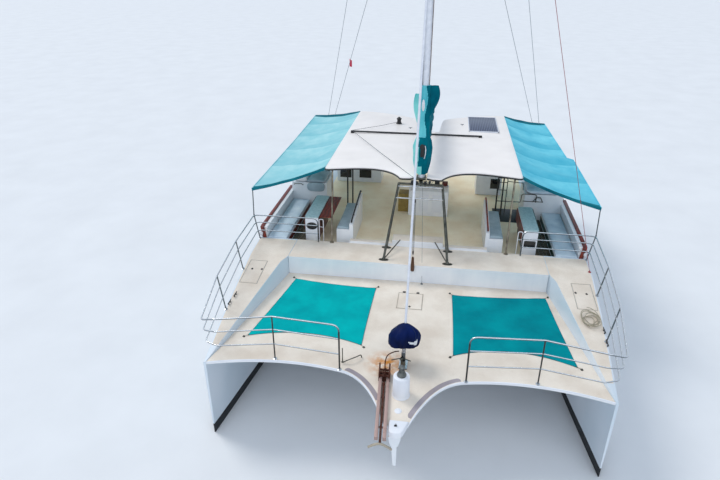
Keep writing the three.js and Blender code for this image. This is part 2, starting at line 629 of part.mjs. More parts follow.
rail.push(rod([CROSS.x, CROSS.inner, RAISED + GAP], [CROSS.x, CROSS.inner, railTop[2]], RAIL_R + 2, 6));
rail.push(rod(railTop, [railTop[0], railTop[1], railTop[2] + SOCKET], 20));
addPair('rail', join(rail), STEEL);

// Awnings from the roof edge out to a tube on two posts, with holes for the shrouds and backstays.
// Columns: x at the roof, x at the outer edge, y of the outer edge
const AWNING_PORT = [
  [-5730, -4950, AWNING_Y],
  [-8760, -8850, AWNING_Y],
  [-8860, -8980, AWNING_Y - 170],
  [-12390, -13200, AWNING_Y - 290],
];
const AWNING_STARBOARD = [
  [-5730, -4950, AWNING_Y],
  [-9300, -9400, AWNING_Y],
  [-12390, -13200, AWNING_Y + 50],
];
const AWNING = { thick: 10, sag: 150, middle: 0.52, roofZ: ROOF_Z + 50, edgeZ: AWNING_Z + 30, hole: 40 };
const TUBE = { r: 16, z: AWNING.edgeZ - 16 - GAP, aft: -12700, post: 15 };
const socketTop = [railTop[0], railTop[1], railTop[2] + SOCKET + 1.5];
for (const [name, side, rows] of [['port', 1, AWNING_PORT], ['starboard', -1, AWNING_STARBOARD]]) {
  const cloth = loft(rows.map(([inX, outX, outY]) => {
    const x = inX + AWNING.middle * (outX - inX);
    const y = ROOF_HALF + AWNING.middle * (outY - ROOF_HALF);
    const z = AWNING.edgeZ + AWNING.sag;
    const under = [[outX, outY, AWNING.edgeZ], [x, y, z], [inX, ROOF_HALF + GAP, AWNING.roofZ]];
    return [...under.map(([a, b, c]) => [a, b, c + AWNING.thick]).reverse(), ...under];
  }));
  const holes = STAYS.map(([, x, y, z]) => stayRod(x, y, z, AWNING.hole));
  const mesh = add(`awning_${name}`, cloth.subtract(join(holes)), TURQUOISE);
  const aftY = rows[rows.length - 1][2] - 10;
  const edge = [
    [railTop[0], AWNING_Y - 15, TUBE.z],
    ...rows.slice(1, -1).map(([, x, y]) => [x, y - 15, TUBE.z]),
    [TUBE.aft, aftY, TUBE.z],
  ];
  const tubes = add(`awning_frame_${name}`, join(
    bars(edge, TUBE.r, 12),
    rod(socketTop, edge[0], TUBE.post),
    rod([TUBE.aft, BULWARK.outer - 50, BULWARK.top + 3], [TUBE.aft, aftY, TUBE.z], TUBE.post),
  ), STEEL);
  if (side < 0) {
    mesh.geometry = mirrored(mesh.geometry);
    tubes.geometry = mirrored(tubes.geometry);
  }
}

// On the roof: solar panel and mainsheet track
add('solar_panel', box(-9980, -11940, 1350, 2350, ROOF_TOP + GAP, ROOF_TOP + 40), SOLAR);
const TRACK = { aft: -9380, front: -9320, starboard: -2560, port: 1760, foot: 100, z: ROOF_TOP + 40 };
const trackFoot = (from) => box(TRACK.aft - 30, TRACK.front + 30, from, from + TRACK.foot,
  ROOF_TOP + GAP, TRACK.z + 10);
add('mainsheet_track', join(
  box(TRACK.aft, TRACK.front, TRACK.starboard, TRACK.port, TRACK.z, TRACK.z + 40),
  trackFoot(TRACK.port - TRACK.foot),
  trackFoot(TRACK.starboard),
), BLACK);

// Sun covers lying on the foredeck
const sunOutline = [[-3500, 970], [-1020, 1000], [-1260, 1600], [-1350, 2300], [-1260, 3000], [-1000, 3620],
  [-3720, 3200]];
addPair('sun_cover', slab(sunOutline, DECK + GAP, DECK + 12), TEAL);

// Mooring rope coiled on the port side deck
const COIL = { x: -2350, y: 4090, inner: 150, outer: 280, height: 48 };
const coilRing = new THREE.LatheGeometry([[COIL.inner, 0], [COIL.outer, 0], [COIL.outer, COIL.height],
  [COIL.inner, COIL.height], [COIL.inner, 0]].map(([r, z]) => new THREE.Vector2(r, z)), 24);
coilRing.rotateX(Math.PI / 2);
coilRing.rotateY(Math.atan((deckTopAt(COIL.x - 280) - deckTopAt(COIL.x + 280)) / 560));
coilRing.translate(COIL.x, COIL.y, deckTopAt(COIL.x) + 0.9);
add('mooring_rope', solid(coilRing), ROPE);

// Hatch lids
const LID = { aft: -3700, front: -2750, inner: 3900, outer: 4330, thick: 8 };
add('hatch_centre', box(-3385, -2690, -330, 260, DECK + GAP, DECK + LID.thick), NONSKID);
const lidRing = (x) => {
  const z = deckTopAt(x);
  return [[x, LID.inner, z + GAP], [x, LID.outer, z + GAP], [x, LID.outer, z + LID.thick],
    [x, LID.inner, z + LID.thick]];
};
addPair('hatch_side', loft([LID.front, LID.aft].map(lidRing)), NONSKID);

// Rudders behind the hulls and propellers on their shafts
addPair('rudder', join(
  rod([RUDDER.x, RUDDER.y, RUDDER.top - 40], [RUDDER.x, RUDDER.y, RUDDER.bearing - 0.5], RUDDER.stock, 12),
  slab([[RUDDER.x + 90, RUDDER.y], [RUDDER.x + 20, RUDDER.y + 30], [RUDDER.x - 330, RUDDER.y + 4],
    [RUDDER.x - 330, RUDDER.y - 4], [RUDDER.x + 20, RUDDER.y - 30]], RUDDER.bottom, RUDDER.top),
), GELCOAT);
const PROP = { radius: 210, hub: 34, length: 110 };
const shaftTilt = Math.atan2(SHAFT.startZ - SHAFT.z, SHAFT.from - SHAFT.to);
function propeller() {
  const hub = rod([-PROP.length, 0, 0], [0, 0, 0], PROP.hub, 12);
  const blades = [0, 1, 2].map((k) => {
    const g = new THREE.BoxGeometry(12, 110, PROP.radius - 20);
    g.rotateZ(0.5);
    g.translate(-PROP.length / 2, 0, (PROP.radius + 20) / 2);
    g.rotateX((k * 2 * Math.PI) / 3);
    return solid(g);
  });
  const g = geometryOf(join(hub, blades));
  g.translate(-1, 0, 0);
  g.rotateY(-shaftTilt);
  g.translate(SHAFT.to, SHAFT.y, SHAFT.z);
  return solid(g);
}
addPair('propeller', propeller(), BRONZE);

export default boat;
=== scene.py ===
import math

import bmesh
import bpy
from mathutils import Matrix, Vector, noise


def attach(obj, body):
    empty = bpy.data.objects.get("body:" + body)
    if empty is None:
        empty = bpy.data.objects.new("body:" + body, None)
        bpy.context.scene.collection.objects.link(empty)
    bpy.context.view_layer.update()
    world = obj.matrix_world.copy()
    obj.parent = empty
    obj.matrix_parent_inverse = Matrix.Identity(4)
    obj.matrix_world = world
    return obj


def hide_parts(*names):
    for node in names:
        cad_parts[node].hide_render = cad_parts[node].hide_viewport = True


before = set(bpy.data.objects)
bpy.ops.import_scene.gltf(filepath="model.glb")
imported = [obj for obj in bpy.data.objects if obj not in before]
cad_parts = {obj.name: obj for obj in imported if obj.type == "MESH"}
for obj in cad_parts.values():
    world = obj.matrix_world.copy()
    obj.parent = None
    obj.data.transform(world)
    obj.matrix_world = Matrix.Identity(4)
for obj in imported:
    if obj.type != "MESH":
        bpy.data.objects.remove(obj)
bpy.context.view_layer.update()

scene = bpy.context.scene

# Camera, as the photograph was taken: from the bow, above the deck
CAMERA_AT = Vector((9.03, 0.525, 9.66))
CAMERA_RIGHT = Vector((-0.1495, 0.9888, 0.0))
CAMERA_DOWN = Vector((0.4389, 0.0664, -0.8962))
CAMERA_AHEAD = Vector((-0.8861, -0.1340, -0.4439))
camera_data = bpy.data.cameras.new("camera")
camera_data.sensor_width = 36.0
camera_data.lens = 28.3
camera_data.clip_end = 1000.0
camera = bpy.data.objects.new("camera", camera_data)
turn = Matrix((CAMERA_RIGHT, -CAMERA_DOWN, -CAMERA_AHEAD)).transposed().to_4x4()
camera.matrix_world = Matrix.Translation(CAMERA_AT) @ turn
scene.collection.objects.link(camera)
scene.camera = camera

# Sizes shared with the solids, in metres
DECK = 2.0
RAISED = 2.5
SOLE = 2.25
RECESS_X = -4.0
COCKPIT_X = -5.05
STEP_X = -14.25
STERN_X = -15.0
RISER_Y = 3.4
ROOF_Z = 4.38
ROOF_HALF = 2.7
MAST_X = -5.5
HOUNDS = 13.4
MASTHEAD = 19.0
BOOM_Z = 5.05
CLEAR = 0.0003  # left between a piece and the face it stands on


# Materials. Colours are screen values of 0 to 255
def rgb(colour):
    """A linear colour from screen values."""
    return tuple((c / 255 / 12.92) if c / 255 <= 0.04045 else ((c / 255 + 0.055) / 1.055) ** 2.4
                 for c in colour) + (1.0,)


WAVE_UNIT = math.pi / 10  # a wave texture of scale 1 repeats after this many metres


class Finish:
    """A material in the making, with short ways to add its patterns."""

    def __init__(self, name, roughness=0.5, metallic=0.0, coat=0.0, sheen=0.0, specular=0.5):
        self.material = bpy.data.materials.new(name)
        self.material.use_nodes = True
        self.tree = self.material.node_tree
        self.shader = self.tree.nodes["Principled BSDF"].inputs
        for socket, value in (("Roughness", roughness), ("Metallic", metallic), ("Coat Weight", coat),
                              ("Sheen Weight", sheen), ("Specular IOR Level", specular)):
            self.shader[socket].default_value = value
        self.place = self.node("TexCoord").outputs["Object"]

    def node(self, kind, inputs=None, **settings):
        """A new node. Its inputs are numbers, colours or what other nodes put out."""
        node = self.tree.nodes.new("ShaderNode" + kind)
        for name, value in settings.items():
            setattr(node, name, value)
        for socket, value in (inputs or {}).items():
            if isinstance(value, bpy.types.NodeSocket):
                self.tree.links.new(value, node.inputs[socket])
            elif value is not None:
                node.inputs[socket].default_value = value
        return node

    def mapped(self, stretch=(1, 1, 1), turned=(0, 0, 0)):
        return self.node("Mapping", {"Scale": stretch, "Rotation": turned, "Vector": self.place}).outputs["Vector"]

    def noise(self, scale, detail=3.0, stretch=(1, 1, 1), roughness=0.55):
        return self.node("TexNoise", {"Scale": scale, "Detail": detail, "Roughness": roughness,
                                      "Vector": self.mapped(stretch)}).outputs["Fac"]

    def cells(self, scale):
        return self.node("TexVoronoi", {"Scale": scale, "Vector": self.mapped()}).outputs["Distance"]

    def wave(self, scale, direction="X", slant=0.0, distortion=0.0, profile="SIN"):
        return self.node("TexWave", {"Scale": scale, "Distortion": distortion,
                                     "Vector": self.mapped(turned=(0, 0, slant))},
                         bands_direction=direction, wave_profile=profile).outputs["Fac"]

    def height(self, axis="Z"):
        return self.node("SeparateXYZ", {0: self.place}).outputs[axis]

    def facing_up(self):
        normal = self.node("NewGeometry").outputs["Normal"]
        return self.node("SeparateXYZ", {0: normal}).outputs["Z"]

    def math(self, operation, first, second=None):
        return self.node("Math", {0: first, 1: second}, operation=operation).outputs[0]

    def scaled(self, value, low, high, to_low=0.0, to_high=1.0):
        return self.node("MapRange", {"From Min": low, "From Max": high, "To Min": to_low, "To Max": to_high,
                                      "Value": value}).outputs["Result"]

    def ramp(self, value, *stops):
        """A colour for each value, from stops of position and colour."""
        node = self.node("ValToRGB", {"Fac": value})
        ends = node.color_ramp.elements
        for end, (position, colour) in zip(ends, (stops[0], stops[-1])):
            end.position, end.color = position, rgb(colour)
        for position, colour in stops[1:-1]:
            ends.new(position).color = rgb(colour)
        return node.outputs["Color"]

    def mottle(self, scale, detail, dark, light, low=0.3, high=0.7):
        """Cloudy patches between two colours."""
        return self.ramp(self.noise(scale, detail), (low, dark), (high, light))

    def mix(self, share, first, second):
        first, second = [rgb(c) if isinstance(c, tuple) else c for c in (first, second)]
        return self.node("Mix", {0: share, 6: first, 7: second}, data_type="RGBA").outputs[2]

    def colour(self, value):
        self.tree.links.new(value, self.shader["Base Color"])

    def rough(self, value, low=None, high=None):
        """Roughness from a pattern, brought to a range where one is given."""
        if low is not None:
            value = self.scaled(value, 0.3, 0.7, low, high)
        self.tree.links.new(value, self.shader["Roughness"])

    def bump(self, value, strength=0.2, distance=0.002):
        node = self.node("Bump", {"Strength": strength, "Distance": distance, "Height": value})
        self.tree.links.new(node.outputs["Normal"], self.shader["Normal"])


def gelcoat_colour(finish):
    clouds = finish.noise(0.9, 5.0)
    drips = finish.noise(5.0, 4.0, (1.0, 1.0, 0.12))
    both = finish.math("ADD", finish.math("MULTIPLY", clouds, 0.75), finish.math("MULTIPLY", drips, 0.25))
    return finish.ramp(both, (0.30, (224, 229, 235)), (0.62, (242, 244, 246)))


def make_gelcoat():
    finish = Finish("gelcoat", 0.32, coat=0.25)
    finish.colour(gelcoat_colour(finish))
    finish.rough(finish.noise(14.0), 0.25, 0.45)
    finish.bump(finish.noise(3.0, 2.0), 0.05, 0.01)
    return finish.material


def make_hull():
    """Pale gelcoat with a mottled blue-grey tint that is partly painted shade and reflection of dark water, and dark
    paint below an uneven waterline.
    """
    finish = Finish("hull_gelcoat", 0.35, coat=0.15)
    # Mottled blue-grey tint, partly painted shade and reflection of dark water
    tinted = finish.ramp(finish.noise(0.6, 2.0, (1, 1, 0.6)), (0.3, (204, 218, 228)), (0.7, (226, 233, 240)))
    edge = finish.math("ADD", finish.height(), finish.scaled(finish.noise(1.2, 3.0), 0.0, 1.0, -0.02, 0.02))
    below = finish.math("LESS_THAN", edge, 0.25)
    finish.colour(finish.mix(below, tinted, finish.mottle(4.0, 6.0, (8, 11, 16), (24, 29, 35))))
    finish.rough(finish.math("MAXIMUM", finish.scaled(finish.noise(3.0), 0.3, 0.7, 0.3, 0.42),
                             finish.math("MULTIPLY", below, 0.8)))
    finish.bump(finish.noise(1.0, 1.0), 0.03, 0.01)
    return finish.material


WORN_CREAM = (221, 208, 192)
FRESH_CREAM = (238, 228, 214)


def nonskid_parts(finish, worn, fresh):
    """Non-skid: broad stains, fine speckle and larger pale spots."""
    broad = finish.mottle(1.4, 6.0, worn, fresh, 0.32, 0.62)
    speckle = finish.scaled(finish.noise(120.0, 2.0), 0.56, 0.72, 0.0, 0.4)
    spotted = finish.mix(speckle, broad, (168, 158, 140))
    return finish.mix(finish.scaled(finish.noise(7.0, 6.0), 0.58, 0.8, 0.0, 0.2), spotted, (196, 182, 158))


def make_nonskid(name, worn=WORN_CREAM, fresh=FRESH_CREAM):
    finish = Finish(name, 0.85)
    finish.colour(nonskid_parts(finish, worn, fresh))
    finish.bump(finish.cells(260.0), 0.35, 0.0012)
    return finish.material


def make_deck():
    """Non-skid where a face looks up, white gelcoat on its sides, beige on the cockpit sole."""
    finish = Finish("deck", 0.6)
    up = finish.scaled(finish.facing_up(), 0.85, 0.95)
    cream = nonskid_parts(finish, WORN_CREAM, FRESH_CREAM)
    sole = nonskid_parts(finish, (244, 226, 192), (255, 244, 216))
    aft = finish.math("LESS_THAN", finish.height("X"), COCKPIT_X - 0.01)
    low = finish.math("MULTIPLY", finish.math("LESS_THAN", finish.height(), SOLE + 0.1), aft)
    white = gelcoat_colour(finish)
    # Rust that has washed off the chain stopper
    away = [finish.math("POWER", finish.math("ADD", finish.height(axis), offset), 2.0)
            for axis, offset in (("X", 0.5), ("Y", 0.34))]
    near = finish.scaled(finish.math("SQRT", finish.math("ADD", *away)), 0.1, 0.52, 1.0, 0.0)
    rust = finish.math("MULTIPLY", near, finish.scaled(finish.noise(6.0, 6.0), 0.36, 0.56))
    tinted = finish.mix(rust, cream, (204, 134, 54))
    finish.colour(finish.mix(up, white, finish.mix(low, tinted, sole)))
    finish.rough(finish.scaled(up, 0.0, 1.0, 0.35, 0.85))
    finish.bump(finish.math("MULTIPLY", finish.cells(260.0), up), 0.3, 0.0012)
    return finish.material


THREAD = 0.004  # pitch of woven cloth, in metres


def make_fabric(name, dark, light, shade_band=None, roughness=0.85, specular=0.15):
    """Woven cloth: crossed threads, cloudy fading, and painted shade in bands across the sagging panels, of pitch,
    slant, strength and shade colour.
    """
    finish = Finish(name, roughness, sheen=0.01, specular=specular)
    clouds = finish.mottle(1.6, 5.0, dark, light, 0.3, 0.68)
    if shade_band:
        pitch, slant, strength, shade = shade_band
        # Painted shade: darker bands across the cloth where its panels sag between the ribs
        shade_stripes = finish.wave(WAVE_UNIT / pitch, "X", slant, 0.35, "SAW")
        clouds = finish.mix(finish.scaled(shade_stripes, 0.25, 1.0, 0.0, strength), clouds, shade)
    weave = finish.math("ADD", finish.wave(WAVE_UNIT / THREAD, "X"), finish.wave(WAVE_UNIT / THREAD, "Y"))
    finish.colour(finish.mix(finish.scaled(weave, 0.0, 2.0, 0.0, 0.12), clouds, light))
    finish.bump(finish.math("ADD", finish.math("MULTIPLY", weave, 0.12), finish.noise(6.0, 5.0)), 0.35, 0.004)
    return finish.material


def make_vinyl(name, dark, light):
    finish = Finish(name, 0.5, coat=0.1)
    finish.colour(finish.mottle(3.0, 5.0, dark, light))
    finish.rough(finish.noise(25.0), 0.4, 0.62)
    finish.bump(finish.math("ADD", finish.math("MULTIPLY", finish.cells(700.0), 0.15), finish.noise(5.0)), 0.3, 0.003)
    return finish.material


def make_mahogany(name, dark, light):
    finish = Finish(name, 0.4, coat=0.12)
    grain = finish.noise(9.0, 8.0, (0.25, 5.0, 5.0), 0.65)
    rings = finish.wave(3.0, "Y", distortion=6.0)
    both = finish.math("MULTIPLY", finish.math("ADD", grain, finish.math("MULTIPLY", rings, 0.4)), 0.75)
    finish.colour(finish.ramp(both, (0.3, dark), (0.55, (112, 32, 16)), (0.8, light)))
    finish.rough(grain, 0.34, 0.55)
    finish.bump(grain, 0.12, 0.001)
    return finish.material


def make_metal(name, dark, light, low, high, scale=8.0, metallic=1.0):
    finish = Finish(name, low, metallic)
    finish.colour(finish.mottle(scale, 5.0, dark, light))
    finish.rough(finish.noise(scale * 3, 4.0), low, high)
    finish.bump(finish.noise(scale * 20, 2.0), 0.04, 0.0005)
    return finish.material


def make_stainless():
    """Polished tube with painted reflection: bright above and dark on its underside, where it would mirror dark water,
    with mottled tarnish.
    """
    finish = Finish("stainless", 0.2, 0.9)
    tarnish = finish.math("MULTIPLY", finish.noise(9.0, 5.0), 0.3)
    # Painted reflection: the colour goes from dark to bright as a face turns upwards
    upper = finish.math("ADD", finish.scaled(finish.facing_up(), -0.1, 0.9, 0.0, 0.85), tarnish)
    finish.colour(finish.ramp(upper, (0.15, (58, 66, 74)), (0.5, (150, 158, 164)), (0.85, (240, 242, 243))))
    finish.rough(finish.noise(24.0, 4.0), 0.16, 0.3)
    return finish.material


def make_rust(name, steel, dark, light, amount):
    """Steel under patches of flaking rust."""
    finish = Finish(name, 0.8, 0.25)
    patches = finish.scaled(finish.noise(9.0, 9.0, roughness=0.7), 0.62 - amount, 0.72 - amount * 0.6)
    finish.colour(finish.mix(patches, steel, finish.mottle(60.0, 5.0, dark, light, 0.35, 0.65)))
    finish.rough(finish.scaled(patches, 0.0, 1.0, 0.5, 0.92))
    finish.bump(finish.noise(90.0, 6.0), 0.5, 0.002)
    return finish.material


def make_solar():
    """Dark cells with silver fingers and busbars behind glass."""
    finger_pitch, cell_pitch = 0.058, 0.1625
    finish = Finish("solar", 0.28, coat=0.1, specular=0.3)
    fingers = finish.scaled(finish.wave(WAVE_UNIT / finger_pitch, "Y"), 0.7, 0.9)
    gaps = finish.scaled(finish.wave(WAVE_UNIT / cell_pitch, "X"), 0.975, 0.99)
    lines = finish.math("MAXIMUM", fingers, gaps)
    finish.colour(finish.mix(lines, finish.mottle(30.0, 3.0, (30, 40, 66), (48, 60, 90)), (118, 126, 146)))
    return finish.material


def make_rope(name, dark, light):
    finish = Finish(name, 0.9, sheen=0.2)
    finish.colour(finish.mottle(60.0, 5.0, dark, light))
    twist = finish.wave(WAVE_UNIT / 0.02, "DIAGONAL", distortion=1.0)
    finish.bump(finish.math("ADD", twist, finish.noise(200.0)), 0.6, 0.002)
    return finish.material


def make_plain(name, dark, light, low, high, scale=12.0, coat=0.0):
    """Moulded or painted surface with slight mottling."""
    finish = Finish(name, low, coat=coat)
    finish.colour(finish.mottle(scale, 5.0, dark, light))
    finish.rough(finish.noise(scale * 2.5, 4.0), low, high)
    finish.bump(finish.noise(scale * 30, 3.0), 0.08, 0.0006)
    return finish.material


GELCOAT = make_gelcoat()
HULL_PAINT = make_hull()
NONSKID = make_nonskid("nonskid")
DECK_PAINT = make_deck()
GREY_STRIP = make_nonskid("grey_strip", (140, 132, 138), (166, 158, 164))
# One cloth in two copies: lighter to starboard as painted light and darker to port as painted shade
AWNING_CLOTHS = {
    "starboard": make_fabric("awning_cloth_sunlit_starboard", (134, 202, 210), (176, 222, 226),
                             shade_band=(1.62, 0.08, 0.55, (104, 184, 198))),
    "port": make_fabric("awning_cloth_shaded_port", (84, 188, 212), (124, 214, 230), shade_band=(1.58, -0.08, 0.65, (50, 166, 194))),
}
# Dark teal for hems, partly the hem's own colour and partly painted shade along the edges
AWNING_HEM_SHADE = make_fabric("awning_hem_shade", (4, 88, 104), (24, 124, 138))
# One cloth in two copies: lighter to starboard as painted light and darker to port as painted shade
SUN_CLOTHS = {
    "port": make_fabric("sun_cloth_shaded_port", (0, 122, 134), (0, 148, 156), specular=0.03),
    "starboard": make_fabric("sun_cloth_sunlit_starboard", (0, 156, 162), (0, 184, 184), specular=0.03),
}
COVER_CLOTH = make_fabric("cover_cloth", (0, 66, 86), (0, 114, 128), specular=0.05)
# Lighter copy of the cover's teal cloth: painted light on the collar's sunlit side
SUNLIT_CYAN_CLOTH = make_fabric("sunlit_cyan_cloth", (52, 164, 182), (112, 208, 216))
NAVY_CLOTH = make_fabric("navy_cloth", (0, 8, 34), (0, 26, 84), roughness=0.6, specular=0.1)
SAIL_WHITE = make_fabric("sail_white", (206, 210, 216), (238, 240, 242))
# Lighter copy of the cover's teal cloth: painted light on the collar's sunlit side
SUNLIT_MINT_CLOTH = make_fabric("sunlit_mint_cloth", (96, 196, 196), (150, 226, 220))
BROWN_CANVAS = make_fabric("brown_canvas", (66, 44, 34), (112, 82, 64))
PENNANT = make_fabric("pennant", (190, 40, 70), (226, 90, 110))
PALE_VINYL = make_vinyl("pale_vinyl", (178, 198, 214), (212, 226, 236))
GREY_VINYL = make_vinyl("grey_vinyl", (136, 158, 168), (172, 190, 198))
MAHOGANY = make_mahogany("mahogany", (66, 16, 8), (150, 50, 26))
# Very dark wood, darker than the mahogany, used partly as painted shade where it lines the gap under the table leaves
DARK_WOOD_AND_SHADE = make_mahogany("dark_wood_and_shade", (26, 12, 10), (64, 26, 18))
STEEL = make_stainless()
ALLOY = make_metal("spar_alloy", (212, 216, 225), (234, 236, 242), 0.3, 0.45, metallic=0.3)
BRONZE = make_metal("bronze", (110, 80, 36), (176, 136, 70), 0.25, 0.5)
WIRE = make_metal("wire", (96, 102, 108), (150, 154, 158), 0.25, 0.4, 60.0)
DARK_STEEL = make_metal("dark_steel", (58, 60, 56), (112, 112, 104), 0.3, 0.45)
TAN_STEEL = make_metal("tan_steel", (92, 84, 72), (162, 152, 134), 0.25, 0.42)
BRIGHT_TUBE = make_metal("bright_tube", (168, 172, 174), (222, 224, 226), 0.16, 0.3)
CAPSTAN_METAL = make_metal("capstan_metal", (84, 88, 86), (158, 160, 156), 0.3, 0.5)
DEEP_RUST = make_rust("deep_rust", (88, 62, 52), (46, 20, 13), (104, 50, 28), 0.3)
GALVANISED = make_rust("galvanised", (172, 162, 144), (118, 80, 54), (156, 122, 92), 0.04)
PINK_METAL = make_rust("weathered_channel", (182, 154, 146), (126, 88, 74), (164, 128, 116), 0.04)
SOLAR = make_solar()
ROPE = make_rope("rope", (120, 112, 92), (200, 192, 168))
DARK_ROPE = make_rope("dark_rope", (24, 26, 32), (60, 64, 76))
RED_ROPE = make_rope("red_rope", (110, 20, 34), (170, 44, 60))
MARGIN = make_plain("margin_white", (226, 230, 237), (241, 243, 247), 0.4, 0.5, 1.5)
ROOF_WHITE = make_plain("roof_white", (243, 237, 232), (252, 246, 241), 0.35, 0.5, 1.2)
GLASS = make_plain("dark_glass", (10, 14, 18), (24, 30, 36), 0.05, 0.12, coat=0.5)
BLACK = make_plain("black_plastic", (14, 15, 17), (34, 35, 38), 0.35, 0.6)
DARK_TUBE = make_plain("dark_tube", (24, 24, 22), (50, 48, 42), 0.4, 0.6)
PANEL_BLUE = make_plain("panel_blue", (150, 182, 188), (184, 210, 212), 0.3, 0.5)
SEALANT = make_plain("sealant", (164, 156, 142), (190, 182, 168), 0.7, 0.85)
OCHRE = make_plain("ochre_panel", (126, 104, 48), (168, 142, 74), 0.5, 0.7)
GREEN = make_plain("dark_green", (24, 48, 42), (44, 76, 64), 0.4, 0.6)
# Dark colour for the floor between bench and table: painted shade
FLOOR_SHADE = make_plain("floor_shade", (48, 44, 36), (92, 82, 64), 0.6, 0.8, 7.0)
FLOOR = make_plain("floor", (226, 228, 230), (232, 234, 236), 0.8, 0.9, 0.5)


# Mesh helpers
def lerp(a, b, t):
    return a + (b - a) * t


def shares(count):
    """Steps from 0 to 1."""
    return [k / count for k in range(count + 1)]


def spread(start, end, step):
    return [lerp(start, end, t) for t in shares(max(1, round(abs(end - start) / step)))]


def turns(count):
    """Angles evenly round a circle."""
    return [2 * math.pi * k / count for k in range(count)]


def from_table(table, x, column):
    """A table's column at x; the table's first column falls."""
    for before, after in zip(table, table[1:]):
        if before[0] >= x >= after[0]:
            return lerp(before[column], after[column], (x - before[0]) / (after[0] - before[0]))
    return table[0][column] if x > table[0][0] else table[-1][column]


def between(table, low, high):
    """A flat outline between two lines, from a table of x and the distance inwards."""
    return [(x, low + d) for x, d in table] + [(x, high - d) for x, d in reversed(table)]


def frame_along(direction):
    """Two unit vectors across a direction."""
    direction = direction.normalized()
    side = direction.cross(Vector((0, 0, 1)))
    if side.length < 0.05:
        side = direction.cross(Vector((0, 1, 0)))
    side.normalize()
    return side, direction.cross(side).normalized()


def bezier(a, b, c, steps):
    return [((1 - t) ** 2 * a[0] + 2 * t * (1 - t) * b[0] + t * t * c[0],
             (1 - t) ** 2 * a[1] + 2 * t * (1 - t) * b[1] + t * t * c[1])
            for t in shares(steps)[:-1]]


def cubic(a, b, c, d, steps):
    return [tuple((1 - t) ** 3 * a[k] + 3 * t * (1 - t) ** 2 * b[k] + 3 * t * t * (1 - t) * c[k] + t ** 3 * d[k]
                  for k in (0, 1)) for t in shares(steps)]


def rounded(points, radius, steps=5):
    """A path whose inner corners are bends of that radius."""
    straight = 0.02  # a smaller turn stays a corner
    points = [Vector(p) for p in points]
    path = [points[0]]
    for before, corner, after in zip(points, points[1:], points[2:]):
        a = before - corner
        b = after - corner
        turn_by = math.pi - a.angle(b)
        if turn_by < straight:
            path.append(corner)
            continue
        reach = min(radius * math.tan(turn_by / 2), 0.45 * a.length, 0.45 * b.length)
        start = corner + a.normalized() * reach
        end = corner + b.normalized() * reach
        for t in shares(steps):
            path.append(start * (1 - t) ** 2 + corner * 2 * t * (1 - t) + end * t ** 2)
    path.append(points[-1])
    return path


def smooth_path(points, steps=8):
    """A Catmull-Rom path through points."""
    points = [Vector(p) for p in points]
    ends = [points[0] * 2 - points[1]] + points + [points[-1] * 2 - points[-2]]
    path = []
    for i in range(len(points) - 1):
        a, b, c, d = ends[i:i + 4]
        for t in shares(steps)[:-1]:
            path.append(0.5 * ((2 * b) + (c - a) * t + (2 * a - 5 * b + 4 * c - d) * t * t
                               + (3 * b - a - 3 * c + d) * t ** 3))
    path.append(points[-1])
    return path


SMOOTH_ANGLE = 35  # degrees; edges sharper than this stay sharp
TIP = 0.0004  # smallest radius of a turned form, and smallest bevel


